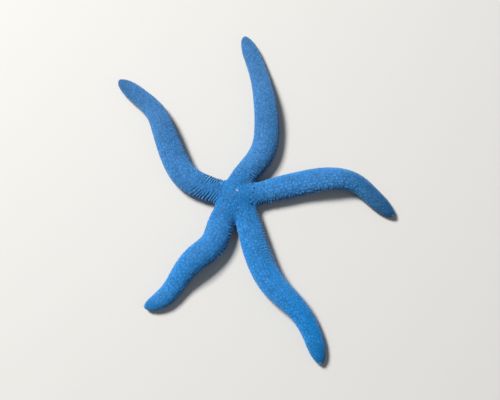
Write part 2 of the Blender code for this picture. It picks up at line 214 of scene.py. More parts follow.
def oval(across, up, half, waist, top):
    """How many times bigger the cross-section would be to pass through a point: 1 on its outline."""
    above = np.sqrt((across / half) ** 2 + (np.maximum(up - waist, 0) / (top - waist)) ** 2)
    drop = np.maximum(waist - up, 0) / (waist * LOWER_DROP)
    below = ((np.abs(across) / half) ** LOWER_POWER + drop**LOWER_POWER) ** (1 / LOWER_POWER)
    return np.where(up > waist, above, below)


def arm_field(arm, points):
    """About the distance from the arm's surface, less than 0 inside. It is rounded off behind the mouth."""
    s, across = beside_line(arm, points[:, :2])
    half = arm.half_width(s)
    height = 2 * half * HEIGHT_OF_WIDTH
    ratio = oval(across, points[:, 2] - arm.underside(s), half, height * WIDEST_AT, height)
    return (np.sqrt(ratio**2 + (np.minimum(s, 0) / ROUND_BEHIND) ** 2) - 1) * half


def dome_field(points):
    """The same for the low dome of the disc, an oval turned about the upright line through the mouth."""
    reach = np.linalg.norm(points[:, :2] - DISC_CENTRE, axis=1)
    waist, top = DISC_MIDDLE - MOUTH_LIFT, DISC_TOP - MOUTH_LIFT
    ratio = oval(reach, points[:, 2] - MOUTH_LIFT, DISC_RADIUS, waist, top)
    return (ratio - 1) * DOME_SCALE


def body_field(points):
    """The soft minimum of the arms and the dome: -k log of the sum of exp(-field / k)."""
    fields = np.stack([arm_field(arm, points) for arm in arms] + [dome_field(points)])
    low = fields.min(0)
    return low - SOFTNESS * np.log(np.exp((low - fields) / SOFTNESS).sum(0))


def onto_body(cores, points):
    """Slides each point along the line from its core to the first place where the field is 0.

    It walks outwards in short steps while the field is below 0, then halves the last step nine times.
    """
    step = 0.05
    reach = np.full(len(points), 0.4)
    walking = np.arange(len(points))
    for _ in range(40):
        ahead = cores[walking] + (reach[walking] + step)[:, None] * (points - cores)[walking]
        walking = walking[body_field(ahead) < 0]
        reach[walking] += step
    for _ in range(9):
        step = step / 2
        inside = body_field(cores + (reach + step)[:, None] * (points - cores)) < 0
        reach = reach + step * inside
    return cores + reach[:, None] * (points - cores)


# %% [markdown]
# ## One grid over each arm
#
# Each arm has a grid of rings. A ring's points run from the top down the right side, through the
# furrow and up the left side. The first ring lies on the two seams with the neighbouring arms,
# which meet at the middle of the disc above and at the mouth below, so five grids close into one
# skin with shared points on the seams. That is why the colour and the bumps cross them unbroken.

# %% The points of a ring
RING_HALF = 44
PAD_RISE = 0.45 * MM
FURROW_AT, PAD_AT = 0.27, 0.56
SAMPLE_HALF, SAMPLE_HEIGHT = 10, 16.8


def furrow_profile(x):
    """Depth share of the furrow at x half widths from its middle: flat roof, steep walls, soft edges."""
    return 1 - ease(np.abs(x), 0.58, 1.06)


def ring_shares():
    """Across and up shares of the points on half a ring, evenly spaced along an outline 20 mm wide."""
    turns = np.linspace(math.pi / 2, 0, 160)
    across = np.cos(turns)
    up = WIDEST_AT + (1 - WIDEST_AT) * np.sin(turns)
    low = np.linspace(1, 0, 500)[1:] ** 0.5
    drop = LOWER_DROP * (1 - low**LOWER_POWER) ** (1 / LOWER_POWER)
    across, up = np.r_[across, low], np.r_[up, WIDEST_AT * (1 - drop)]
    up = np.maximum(up, PAD_RISE / (SAMPLE_HEIGHT * MM))
    furrow = FURROW_DEPTH / (SAMPLE_HEIGHT * MM) * furrow_profile(across / FURROW_AT) * (up < WIDEST_AT)
    run = np.r_[0, np.cumsum(np.hypot(np.diff(across) * SAMPLE_HALF, np.diff(up + furrow) * SAMPLE_HEIGHT))]
    even = np.linspace(0, run[-1], RING_HALF + 1)
    return np.interp(even, run, across), np.interp(even, run, up)


ACROSS, UP = ring_shares()
SIDE = np.r_[np.ones(RING_HALF + 1), -np.ones(RING_HALF - 1)]
AROUND = np.r_[0 : RING_HALF + 1, RING_HALF - 1 : 0 : -1]
COUNT = len(AROUND)
RING_SHARE, RING_UP = ACROSS[AROUND] * SIDE, UP[AROUND]
print("points round an arm:", COUNT)


def ring_points(arm, s):
    """Rings at the distances s, as (rings, points, 3): across by the shares, up from the underside."""
    half = arm.half_width(s)[:, None]
    furrow_at = arm.furrow(s)[0][:, None] / np.maximum(half, 1e-6)
    share = ACROSS[AROUND][None, :]
    low = (RING_UP < WIDEST_AT)[None, :]
    inner = share / FURROW_AT * furrow_at
    outer = furrow_at + (share - FURROW_AT) / (PAD_AT - FURROW_AT) * (PAD_AT - furrow_at)
    share = np.where(low & (share < PAD_AT), np.where(share < FURROW_AT, inner, outer), share) * SIDE
    here, _, across = arm.place(s)
    xy = here[:, None, :] + across[:, None, :] * (share * half)[..., None]
    z = arm.underside(s)[:, None] + RING_UP * 2 * half * HEIGHT_OF_WIDTH
    return np.concatenate([xy, z[..., None]], -1)


# %% [markdown]
# ## Laying the rings
#
# Beyond 27 mm from the mouth an arm's rings follow the formula alone. Nearer, each ring is a
# blend between the seam and the ring at 27 mm, moved onto the body's field. Two arms have narrow
# folds across them, and there the rings lie closer together, so that the folds show in the mesh.

# %% Rings from the seams to the tips
BLEND_END, BLEND_RINGS, RING_STEP, TIP_RINGS = 27.0 * MM, 42, 0.78 * MM, 28
FINE_RINGS = {"upper_left": (27.0, 44.0, 0.42), "lower_right": (34.0, 68.0, 0.52)}
MORE_BLEND_RINGS = {"upper_left": 26}
CORE_LEVEL, MEAN_HALF = 8.5 * MM, 9.3 * MM
SEAM_REACH, NOTCH_REACH = 15.8 * MM, 20.0 * MM


def notch_turn(i):
    """Where arm i and the next are equally near, on a circle round the mouth through the notches."""
    turns = ARM_TURNS[i] + np.linspace(0.2, 1.05, 400)
    circle = DISC_CENTRE + NOTCH_REACH * np.column_stack([np.cos(turns), np.sin(turns)])
    points = np.column_stack([circle, np.full(400, CORE_LEVEL)])
    return turns[np.abs(arm_field(arms[i], points) - arm_field(arms[(i + 1) % 5], points)).argmin()]


def seam_points(turn):
    """A seam from the disc's middle over the notch to the mouth, in the upright plane at this turn."""
    out = np.array([math.cos(turn), math.sin(turn)])
    xy = DISC_CENTRE + out * (ACROSS * SEAM_REACH)[:, None]
    z = MOUTH_LIFT * 0.7 + UP * 2 * MEAN_HALF * HEIGHT_OF_WIDTH
    return np.column_stack([xy, z])


def ring_distances(arm):
    """Rings beyond the blend: even steps, finer over the folds, and sines of even turns in the tip."""
    start, end, fine = FINE_RINGS.get(arm.name, (27.0, 27.0, 1.0))
    stops = BLEND_END, start * MM, end * MM, arm.tip_from
    parts = []
    for low, high, step in zip(stops, stops[1:], (RING_STEP, fine * MM, RING_STEP)):
        parts.append(np.linspace(low, high, round((high - low) / step) + 1)[1:])
    tip = arm.tip_from + TIP_LENGTH * np.sin(np.linspace(0, math.pi / 2, TIP_RINGS))[1:-1]
    return np.concatenate([*parts, tip])


def arm_grid(i, arm):
    """All rings of arm i, and the distance s of each. Near the mouth they blend and lie on the field."""
    last = ring_points(arm, np.array([BLEND_END]))[0]
    first = np.where((SIDE > 0)[:, None], seams[i - 1][AROUND], seams[i][AROUND])
    rings = BLEND_RINGS + MORE_BLEND_RINGS.get(arm.name, 0)
    way = np.linspace(0, 1, rings + 1)[:, None, None]
    near = (1 - way) * first + way * last
    middle = [np.r_[DISC_CENTRE, CORE_LEVEL], np.r_[arm.place(np.array([BLEND_END]))[0][0], CORE_LEVEL]]
    cores = np.broadcast_to((1 - way) * middle[0] + way * middle[1], near.shape)
    near = onto_body(cores.reshape(-1, 3), near.reshape(-1, 3)).reshape(near.shape)
    near[-1] = last
    far = ring_distances(arm)
    return np.concatenate([near, ring_points(arm, far)]), np.r_[np.linspace(0, BLEND_END, rings + 1), far]


notch_turns = [notch_turn(i) for i in range(5)]
seams = [seam_points(turn) for turn in notch_turns]
grids, distances = zip(*[arm_grid(i, arm) for i, arm in enumerate(arms)])
print("notches at, degrees:", np.degrees(notch_turns).round(1), "rings:", [len(grid) for grid in grids])

# %% [markdown]
# ## Flat pads, furrows and mouth
#
# Below, the star rests on flat pads beside the furrows. The grid is clipped to their level, and
# then pushed up where the furrows and the mouth are. A push straight up keeps every ring closed,
# which a Boolean cut would not.

# %% Clip the pads and raise the furrows
MOUTH_RADIUS, MOUTH_DEPTH = 4.4 * MM, 4.8 * MM


def furrow_height(points):
    """The push up near the mouth: the largest of the furrows' depths by their profiles, and the mouth's."""
    reach = np.linalg.norm(points[:, :2] - DISC_CENTRE, axis=1)
    height = MOUTH_DEPTH * (1 - ease(reach, 0.7 * MOUTH_RADIUS, 1.1 * MOUTH_RADIUS))
    for arm in arms:
        s, across = beside_line(arm, points[:, :2])
        wide, deep = arm.furrow(s)
        height = np.maximum(height, deep * furrow_profile(across / np.maximum(wide, 1e-6)) * (s > 0))
    return height


def finish_underside(arm, grid, s):
    """The grid with level pads and its furrow. Far from the mouth only the arm's own furrow counts."""
    grid = grid.copy()
    near = s <= BLEND_END
    reach = np.linalg.norm(grid[near][..., :2] - DISC_CENTRE, axis=-1)
    level = MOUTH_LIFT * hump(reach / MOUTH_LIFT_REACH)
    grid[near, :, 2] = np.maximum(grid[near][..., 2], level + PAD_RISE)
    low = RING_UP < WIDEST_AT
    rise = np.zeros(grid.shape[:2])
    rise[near] = furrow_height(grid[near].reshape(-1, 3)).reshape(near.sum(), -1) * low
    here, _, across = arm.place(s[~near])
    offset = ((grid[~near][..., :2] - here[:, None, :]) * across[:, None, :]).sum(-1)
    wide, deep = arm.furrow(s[~near])
    rise[~near] = deep[:, None] * furrow_profile(offset / np.maximum(wide, 1e-6)[:, None]) * low
    grid[..., 2] += rise
    return grid, rise


bare, rises = zip(*[finish_underside(arm, grid, s) for arm, grid, s in zip(arms, grids, distances)])
print("lowest pad, mm:", round(min(grid[..., 2].min() for grid in bare) / MM, 3))

# %% [markdown]
# ## Closing the five grids into one mesh
#
# Every point gets a number, and the points on a seam get the same number from both sides. The
# faces are then plain arithmetic on those numbers. Welding by distance could do the same, but it
# may also merge points that are only close.


# %% Number the points and make the faces
def number_points():
    """0 is the disc's middle and 1 the mouth. The seams come next, then each arm's rings and tip."""
    seam = np.zeros((5, RING_HALF + 1), int)
    seam[:, 1:-1] = 2 + np.arange(5 * (RING_HALF - 1)).reshape(5, -1)
    seam[:, -1] = 1
    following = 2 + 5 * (RING_HALF - 1)
    numbers, tips = [], []
    for i, grid in enumerate(bare):
        own = np.zeros((len(grid), COUNT), int)
        own[0] = np.where(SIDE > 0, seam[i - 1][AROUND], seam[i][AROUND])
        own[1:] = following + np.arange((len(grid) - 1) * COUNT).reshape(-1, COUNT)
        following += (len(grid) - 1) * COUNT
        numbers.append(own)
        tips.append(following)
        following += 1
    return numbers, tips, following


def skin_faces():
    """Four-sided faces between rings and three-sided ones round each tip, wound to face outwards."""
    quads, fans = [], []
    for own, tip in zip(numbers, tips):
        beside = np.roll(own, -1, axis=1)
        quads.append(np.stack([own[:-1], beside[:-1], beside[1:], own[1:]], -1).reshape(-1, 4))
        fans.append(np.stack([own[-1], beside[-1], np.full(COUNT, tip)], -1))
    return np.concatenate(quads), np.concatenate(fans)


def gather(values, tip_values=(0,) * 5):
    """One array of values for the numbered points, from each grid's values and each tip's."""
    out = np.zeros((total,) + values[0].shape[2:])
    for own, tip, value, tip_value in zip(numbers, tips, values, tip_values):
        out[own] = value
        out[tip] = tip_value
    return out


numbers, tips, total = number_points()
quads, fans = skin_faces()
line_ends = [arm.place(np.array([arm.length]))[0][0] for arm in arms]
ends = [np.r_[end, grid[-1, :, 2].mean()] for end, grid in zip(line_ends, bare)]
smooth_skin = gather(bare, ends)
print("skin:", total, "points,", 2 * len(quads) + len(fans), "triangles")


# %% Directions out of the skin
def outward(points):
    """At each point, the sum of its faces' cross products, made 1 long: the way out of the skin."""
    a, b, c, d = (points[quads[:, i]] for i in range(4))
    across = np.cross(c - a, d - b)
    out = np.zeros_like(points)
    for i in range(4):
        np.add.at(out, quads[:, i], across)
    a, b, c = (points[fans[:, i]] for i in range(3))
    across = np.cross(b - a, c - a)
    for i in range(3):
        np.add.at(out, fans[:, i], across)
    return unit(out)


def unit(vectors):
    """Vectors of the same directions, 1 long."""
    return vectors / np.maximum(np.linalg.norm(vectors, axis=-1, keepdims=True), 1e-12)


smooth_out = outward(smooth_skin)

# %% [markdown]
# ## Plates under the skin
#
# The skeleton's plates lie just under the skin and swell it in low rounded bumps. On an arm they
# sit in rows, turn and turn about, and two regular rows run along each edge. On the disc they are
# smaller. The rows are spots on the grid, read off by distance and by the place in the ring.


# %% Spots on an arm's grid
def on_grid(grid, s_rings, s, k):
    """The grid's values at distance s and ring place k, both fractional: a mean of four by nearness."""
    ring = np.interp(s, s_rings, np.arange(len(s_rings)))
    low = np.clip(ring.astype(int), 0, len(s_rings) - 2)
    part = (ring - low)[:, None]
    left = np.floor(k).astype(int)
    turn = (k - left)[:, None]
    left, right = left % COUNT, (left + 1) % COUNT
    near = grid[low, left] * (1 - turn) + grid[low, right] * turn
    far = grid[low + 1, left] * (1 - turn) + grid[low + 1, right] * turn
    return near * (1 - part) + far * part


def row_spots(length, start, pitch, places, wobble):
    """Rows of spots: each ring place has one every pitch, each second row half a pitch on, all shaken."""
    s, k = [], []
    for row, place in enumerate(places):
        line = np.arange(start + pitch * (0.5 * (row % 2)), length - 0.8 * MM, pitch)
        s.append(line + chance.normal(0, wobble * pitch, len(line)))
        k.append(place + chance.normal(0, wobble * (places[1] - places[0]), len(line)))
    return np.clip(np.concatenate(s), 0, length - 0.5 * MM), np.concatenate(k)


def thinned(points, gap):
    """Which points to keep so that none lies within its gap of one kept before it."""
    kept = np.zeros(len(points), bool)
    for i in range(len(points)):
        kept[i] = not (((points[kept] - points[i]) ** 2).sum(1) < gap[i] ** 2).any()
    return kept


# %% Where the plates are
EDGE_PITCH, EDGE_START, EDGE_REACH, EDGE_PLACES = 2.6 * MM, 14 * MM, 1.5 * MM, (18.5, 22.5)
PLATE_ROWS = np.linspace(-14, 14, 8)
DISC_END, DISC_REACH, DISC_HEIGHT = 20 * MM, 1.4, 0.8
THIN_END, THIN_GAP = 26 * MM, 1.35
# Each arm's pitch and reach in mm, how much the painted highlight on the plates' crowns shows on its
# left and right, and how much painted shade shows in the gaps between them.
PLATES = {
    "right": (3.2, 1.5, 0.4, 0.95, 0.5),
    "top": (3.4, 1.65, 0.45, 0.45, 0.25),
    "upper_left": (3.4, 1.65, 0.45, 0.45, 0.25),
    "lower_left": (3.4, 1.55, 0.55, 0.55, 0.3),
    "lower_right": (3.1, 1.15, 0.2, 0.8, 0.2),
}
DISC_SHOW = (0.40, 0.40, 0.4)


def plate_spots(arm, grid, s_rings):
    """Middles of an arm's plates, their reach and height: rows over the top, and two on each edge."""
    pitch, wide, left, right, _ = PLATES[arm.name]
    s, k = row_spots(arm.length, 0.8 * MM, pitch * MM, PLATE_ROWS, 0.15)
    on_disc = s < DISC_END
    reach = np.where(on_disc, DISC_REACH, wide) * MM * chance.uniform(0.85, 1.15, len(s))
    height = chance.uniform(0.22, 0.52, len(s)) * MM * np.where(on_disc, DISC_HEIGHT, 1.0)
    sets = [(s, k, reach, height * np.interp(k, (-6, 6), (left, right)))]
    for place in EDGE_PLACES:
        for side in (-1, 1):
            s, k = row_spots(arm.length, EDGE_START, EDGE_PITCH, [side * place, side * place + 1], 0.05)
            own = k * side < place + 0.5
            s, k = s[own], k[own]
            sets.append((s, k, np.full(len(s), EDGE_REACH), chance.uniform(0.30, 0.50, len(s)) * MM))
    s, k, reach, height = (np.concatenate(part) for part in zip(*sets))
    return on_grid(grid, s_rings, s, k), reach * np.sqrt(arm.size(s)), height * arm.size(s), s


plates = [plate_spots(arm, grid, s) for arm, grid, s in zip(arms, bare, distances)]
middles, reaches, heights, plate_s = (np.concatenate(part) for part in zip(*plates))
keep = np.ones(len(middles), bool)
near_mouth = np.flatnonzero(plate_s < THIN_END)[np.argsort(-plate_s[plate_s < THIN_END])]
keep[near_mouth] = thinned(middles[near_mouth], THIN_GAP * reaches[near_mouth])
middles, reaches, heights = middles[keep], reaches[keep], heights[keep]
print("plates:", len(middles))


def nearest_plate(points, chunk=2000):
    """The highest swelling near each point, and its share of the plate's height.

    A plate swells by its height × (1 - (distance / reach)²)².
    """
    swelling, crown = np.zeros(len(points)), np.zeros(len(points))
    for start in range(0, len(points), chunk):
        part = points[start : start + chunk]
        low, high = part.min(0) - 3 * MM, part.max(0) + 3 * MM
        close = np.flatnonzero(((middles > low) & (middles < high)).all(1))
        if not len(close):
            continue
        away = ((part[:, None, :] - middles[close][None]) ** 2).sum(-1) / reaches[close] ** 2
        bump = np.clip(1 - away, 0, 1) ** 2
        best = (bump * heights[close]).argmax(1)
        rows = np.arange(len(part))
        swelling[start : start + chunk] = (bump * heights[close])[rows, best]
        crown[start : start + chunk] = bump[rows, best]
    return swelling, crown


# %% [markdown]
# ## Folds across an arm
#
# Where an arm is bent hard, its skin is thrown into narrow folds across it, like the teeth of a
# comb, deepest at both edges. They are a cosine of the distance along the arm's own line, slanted
# and fanned out across it, bent a little by slower waves, and faded out at both ends. They could
# be bumps in the material, but they are deep enough to show in the outline, so the mesh has them.

# %% Folds
FOLD_PITCH, FOLD_FAN = 2.1 * MM, 0.13
# Strength on the left and right in mm, start and end in mm, and slant in mm for half the arm's width.
FOLDS = {
    "upper_left": (0.56, 0.90, 14, 36.5, 4.2),
    "top": (0.15, 0.60, 14, 36, 0.0),
    "lower_left": (0.10, 0.10, 14, 34, 0.0),
    "right": (0.05, 0.20, 14, 34, 0.0),
    "lower_right": (0.30, 0.00, 34, 62, 1.5),
}


def along_line(arm, xy, s):
    """The distance along the arm's own line. Near the mouth the rings slant, so there it is measured."""
    near = s < BLEND_END
    s = s.copy()
    s[near] = beside_line(arm, xy[near])[0]
    return s


def fold_wave(arm, line_s, share):
    """Distance along the line, fanned out and slanted by the share across it, with three slower waves."""
    _, _, start, end, slant = FOLDS[arm.name]
    middle = 0.5 * (start + end) * MM
    wave = middle + (line_s - middle) * (1 + FOLD_FAN * share) + slant * MM * share
    wave = wave + 0.35 * MM * np.sin(share * 7) + 0.5 * MM * np.sin(share * 2.3 + 1)
    return wave + 0.34 * MM * np.sin(line_s / (1.9 * MM) + 3 * share)


def fold_shape(arm, s, line_s, k):
    """Height of the folds, how deep in a gap a point is, and how near a crest by the edge, from 0 to 1."""
    share = RING_SHARE[k]
    left, right, start, end, slant = FOLDS[arm.name]
    strength = np.interp(share, (-0.4, 0.5), (left, right))
    wave = fold_wave(arm, line_s, share)
    turn = 2 * math.pi * wave / FOLD_PITCH
    number = np.floor(wave / FOLD_PITCH)
    broken = 0.62 + 0.38 * np.cos(share * 9 + 2.4 * number**2)
    end = (end + (6 - 1.6 * slant) * share) * MM
    fade = ease(line_s, (start - 2) * MM, (start + 2) * MM) * (1 - ease(line_s, end - 8 * MM, end + 5 * MM))
    edge = ease(np.abs(share), 0.1, 0.65)
    mask = fade * ease(s, 0, 4 * MM) * (0.4 + 0.6 * edge) * (RING_UP[k] >= 0.2)
    gap = (0.5 - 0.5 * np.cos(turn)) * (broken + (1 - broken) * 0.5 * edge)
    crest = mask * edge * (0.5 + 0.5 * np.cos(turn)) ** 2 * np.minimum(1, strength)
    return strength * MM * mask * (0.5 - gap**1.3), mask * gap * np.minimum(1, strength * 1.35), crest


# %% [markdown]
# ## The fringe and the pits
#
# Along the shaded side of each arm the skin has low ribs, and its grains stand in clusters on them
# like a fringe. Two functions say how strong the fringe is and where its clusters are, and both the
# skin and the grains ask them, so ribs and clusters always meet. The gaps between clusters are
# painted darker as painted shade, and the tips of the tall grains paler as a painted highlight. Two
# small pits and two shallower dents lie at the base of the right arm, painted dark in their hollows
# as painted shade. Each is a round dip by the distance from its middle, pushed into the grid, which
# keeps the skin whole where a Boolean would punch a hole.

# %% Fringe and pits
FRINGE_PITCH, FRINGE_HEIGHT = 2.2 * MM, 0.14 * MM
# Strength on the left and right of each arm, and the share of its length where the fringe ends.
FRINGES = {
    "right": (0.15, 1.0, 0.62),
    "top": (0.1, 0.8, 0.50),
    "upper_left": (0.1, 0.5, 0.65),
    "lower_left": (0.9, 0.15, 0.80),
    "lower_right": (0.9, 0.15, 0.50),
}
PITS = np.array([(0.6, 0.5), (-0.2, -3.0), (-2.5, -9.0), (-0.9, -12.6)]) * MM
PIT_REACHES = np.array([1.15, 1.15, 1.3, 1.5]) * MM
PIT_DEPTHS = np.array([1.1, 1.1, 0.6, 0.8]) * MM


def fringed(arm, s, k):
    """How strong the fringe is, from 0 to 1: a band along each side, round the widest place."""
    left, right, end = FRINGES[arm.name]
    k = np.where(k > COUNT / 2, k - COUNT, k)
    band = hump((np.abs(k) - 19) / 8) * np.where(k > 0, right, left)
    return band * ease(s, 3 * MM, 12 * MM) * (1 - ease(s / arm.length, end - 0.12, end + 0.12))


def clustered(s, k):
    """1 in the clusters of the fringe, one every 2.2 mm along the arm, and 0 in the gaps between them."""
    wave = s + 0.5 * MM * np.sin(s / (3.1 * MM)) + 0.25 * MM * np.sin(k * 0.5 + s / (7 * MM))
    return ease(np.cos(2 * math.pi * wave / FRINGE_PITCH), -0.5, 0.5)


# %% [markdown]
# ## Swelling the skin
#
# All these forms are heights, so they add up to one height for each point, and the point moves by it
# along the way out of the smooth skin. Beside the heights the grid gathers what the colours need:
# how far up a plate or fold crest a point is, for a painted highlight on the crowns, how deep in a
# gap or pit, for painted shade there, and how near a tip, where the blue is deeper.

# %% Heights and markings of the skin
place_k = [np.broadcast_to(np.arange(COUNT), grid.shape[:2]) for grid in bare]
place_s = [np.broadcast_to(s[:, None], grid.shape[:2]) for s, grid in zip(distances, bare)]
line_s, folds, shown, fringes, fringe_gaps, tip_shades = [], [], [], [], [], []
for arm, grid, s, k in zip(arms, bare, place_s, place_k):
    along = along_line(arm, grid[..., :2].reshape(-1, 2), s.ravel()).reshape(s.shape)
    folds.append(fold_shape(arm, s, along, k))
    on_arm = ease(s, 12 * MM, 30 * MM)[..., None]
    shown.append(on_arm * np.array(PLATES[arm.name][2:]) + (1 - on_arm) * np.array(DISC_SHOW))
    fringes.append(fringed(arm, s, k))
    fringe_gaps.append(fringes[-1] * (1 - clustered(along, k)))
    tip_shades.append(ease(s, arm.length - 13 * MM, arm.length - 2 * MM))
fold_height, fold_gap, fold_crest = (gather(part) for part in zip(*folds))
left_show, right_show, gap_show = gather(shown, [PLATES[arm.name][2:] for arm in arms]).T
to_right = gather([ease(RING_SHARE[k], -0.4, 0.4) for k in place_k], [0.5] * 5)
crown_show = left_show + (right_show - left_show) * to_right
fringe, fringe_gap, tip_shade = gather(fringes), gather(fringe_gaps), gather(tip_shades, [1] * 5)
furrow_rise = gather(rises)

order = np.concatenate([own[1:].ravel() for own in numbers])
order = np.r_[order, np.setdiff1d(np.arange(total), order)]
swelling, crown = np.zeros(total), np.zeros(total)
swelling[order], crown[order] = nearest_plate(smooth_skin[order])
side_up = ease(smooth_out[:, 2], -0.92, -0.35)
flat_folds = 1 - np.clip(fold_gap * 3, 0, 0.8)
pit_near = np.linalg.norm(smooth_skin[:, None, :2] - PITS[None], axis=-1) / PIT_REACHES
sunk = (1 - ease(pit_near, 0.3, 1)) * (smooth_out[:, 2:] > 0.2) * PIT_DEPTHS
ribs = FRINGE_HEIGHT * (fringe - 2 * fringe_gap)
lift = ((swelling * flat_folds + fold_height) * side_up + ribs) * (furrow_rise < 0.2 * MM) - sunk.max(1)
skin_points = smooth_skin + smooth_out * lift[:, None]
skin_out = outward(skin_points)

# Colours: the gaps between plates, folds and fringe clusters, and the pits, are painted deep blue as painted
# shade, and the blue deepens near each tip. The crowns of plates and fold crests are painted pale as a
# painted highlight.
plate_gap = 0.24 * gap_show * (1 - ease(crown, 0.0, 0.16)) * side_up
pit = sunk.max(1) / PIT_DEPTHS.max()
painted_gap_shade_and_tip_blue = np.clip(fold_gap + pit + plate_gap + 0.95 * fringe_gap + 0.17 * tip_shade, 0, 1)
crown = np.maximum(crown_show * crown**1.6 * (1 - 0.6 * tip_shade), 1.5 * fold_crest)
belly = 1 - ease(skin_out[:, 2], -0.75, -0.15)
belly = np.maximum(belly, ease(furrow_rise, 0.1 * MM, 0.8 * MM))
print("skin box, mm:", (skin_points.min(0) / MM).round(1), (skin_points.max(0) / MM).round(1))

# %% [markdown]
# ## From arrays to a mesh
#
# foreach_set copies whole arrays into a mesh at once. Each piece also carries small point
# attributes, such as how far up a plate a point is, for its material to read, and a UV map. On the
# skin that map is the grid laid flat, one strip for each arm.


# %% Make a piece
def make_piece(name, points, faces, attributes, uv):
    """A mesh object from points (n, 3), a list of (m, corners) faces, point attributes and corner UVs."""
    mesh = bpy.data.meshes.new(name)
    corners = np.concatenate([part.ravel() for part in faces]).astype(np.int32)
    sizes = np.concatenate([np.full(len(part), part.shape[1]) for part in faces])
    mesh.vertices.add(len(points))
    mesh.loops.add(len(corners))
    mesh.polygons.add(len(sizes))
    mesh.vertices.foreach_set("co", np.asarray(points, np.float32).ravel())
    mesh.loops.foreach_set("vertex_index", corners)
    mesh.polygons.foreach_set("loop_start", np.r_[0, np.cumsum(sizes)[:-1]].astype(np.int32))
    mesh.polygons.foreach_set("use_smooth", np.ones(len(sizes), bool))
    mesh.update(calc_edges=True)
    for key, values in attributes.items():
        layer = mesh.attributes.new(key, "FLOAT", "POINT")
        layer.data.foreach_set("value", np.asarray(values, np.float32))
    layer = mesh.uv_layers.new(name="OFBake")
    layer.data.foreach_set("uv", np.asarray(uv, np.float32).ravel())
    mesh.validate()
    piece = bpy.data.objects.new(name, mesh)
    bpy.context.scene.collection.objects.link(piece)
    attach(piece, "root")
    return piece


def strip_uv(arm_index, s, k):
    """The skin laid flat: the distance runs across the map, and the ring place up the arm's own fifth."""
    return np.stack([0.01 + 0.98 * s / (160 * MM), (arm_index + 0.02 + 0.96 * k / COUNT) / 5], -1)


def skin_uv():
    """A UV for each corner of the skin's faces, in the faces' own order."""
    quad_uv, fan_uv = [], []
    for i, (arm, s) in enumerate(zip(arms, distances)):
        ring, k = np.meshgrid(np.arange(len(s)), np.arange(COUNT + 1), indexing="ij")
        flat = strip_uv(i, s[ring], k)
        corners = [flat[:-1, :-1], flat[:-1, 1:], flat[1:, 1:], flat[1:, :-1]]
        quad_uv.append(np.stack(corners, 2).reshape(-1, 2))
        tip = strip_uv(i, np.full(COUNT, arm.length), np.arange(COUNT) + 0.5)
        fan_uv.append(np.stack([flat[-1, :-1], flat[-1, 1:], tip], 1).reshape(-1, 2))
    return np.concatenate(quad_uv + fan_uv)


# %% [markdown]
# ## Colours and finishes
#
# A living linckia is a strong clear blue. Here it is also painted paler on the crown of each plate,
# a painted highlight, and darker in the pits and gaps between, painted shade. Pictures could paint
# that, but nodes keep it sharp at any size. A small class wraps a node's output, so that sums in
# Python become Math nodes.


# %% Shader sums in Python
class Wire:
    """One output of a node. Sums and products on it add Math nodes."""

    def __init__(self, paint, socket):
        self.paint, self.socket = paint, socket

    def math(self, operation, *values):
        return self.paint.node("ShaderNodeMath", {"operation": operation}, dict(enumerate(values)))

    def __add__(self, other):
        return self.math("ADD", self, other)

    def __sub__(self, other):
        return self.math("SUBTRACT", self, other)

    def __rsub__(self, other):
        return self.math("SUBTRACT", other, self)

    def __mul__(self, other):
        return self.math("MULTIPLY", self, other)

    __radd__, __rmul__ = __add__, __mul__

    def clamped(self):
        return self.paint.node("ShaderNodeClamp", {}, {"Value": self})


class Paint:
    """A material and its nodes."""

    def __init__(self, name, roughness, **constants):
        self.material = bpy.data.materials.new(name)
        self.material.use_nodes = True
        self.tree = self.material.node_tree
        self.shader = self.tree.nodes["Principled BSDF"]
        self.shader.inputs["Roughness"].default_value = roughness
        for key, value in constants.items():
            self.shader.inputs[key.replace("_", " ")].default_value = value
        self.spot = self.node("ShaderNodeTexCoord", {}, {}, "Object")

    def node(self, kind, settings, inputs, output=0):
        """Adds one node: settings first, then each input's value or wire. Returns one output's wire."""
        made = self.tree.nodes.new(kind)
        for key, value in settings.items():
            if key == "stops":
                ramp = made.color_ramp
                for _ in value[2:]:
                    ramp.elements.new(0.5)
                for element, (position, colour) in zip(ramp.elements, value):
                    element.position, element.color = position, (*colour, 1)
            else:
                setattr(made, key, value)
        for key, value in inputs.items():
            self.put(made.inputs[key], value)
        return Wire(self, made.outputs[output])

    def put(self, socket, value):
        if isinstance(value, Wire):
            self.tree.links.new(value.socket, socket)
        elif socket.type == "RGBA":
            socket.default_value = (*value, 1)
        else:
            socket.default_value = value

    def noise(self, size, detail=3, rough=0.5):
        """Soft random values from 0 to 1, with lumps of about this size in metres."""
        inputs = {"Vector": self.spot, "Scale": 1 / size, "Detail": detail, "Roughness": rough}
        return self.node("ShaderNodeTexNoise", {}, inputs)

    def cells(self, size):
        """Distances to the nearest of random spots about this size apart, in cells."""
        inputs = {"Vector": self.spot, "Scale": 1 / size, "Randomness": 0.85}
        return self.node("ShaderNodeTexVoronoi", {}, inputs, "Distance")

    def places(self):
        """The point's x and y in metres."""
        return [self.node("ShaderNodeSeparateXYZ", {}, {"Vector": self.spot}, i) for i in (0, 1)]

    def attribute(self, name):
        return self.node("ShaderNodeAttribute", {"attribute_name": name}, {}, "Fac")

    def mixed(self, share, first, second):
        """Colours mixed by a share from 0 to 1."""
        settings = {"data_type": "RGBA", "blend_type": "MIX", "clamp_factor": True}
        return self.node("ShaderNodeMix", settings, {0: share, 6: first, 7: second}, 2)

    def stretch(self, value, low, high, to_low=0.0, to_high=1.0):
        inputs = {"Value": value, "From Min": low, "From Max": high, "To Min": to_low, "To Max": to_high}
        return self.node("ShaderNodeMapRange", {}, inputs)

    def finish(self, colour, grain, depth, strength, roughness=None):
        """Links the colour, a bump of this depth from the grain, and a varying roughness if there is one."""
        bump = {"Height": grain, "Distance": depth, "Strength": strength}
        self.put(self.shader.inputs["Base Color"], colour)
        self.put(self.shader.inputs["Normal"], self.node("ShaderNodeBump", {}, bump))
        if roughness:
            self.put(self.shader.inputs["Roughness"], roughness)
        return self.material


def dressed(piece, material):
    """Gives a piece its material."""
    piece.data.materials.append(material)
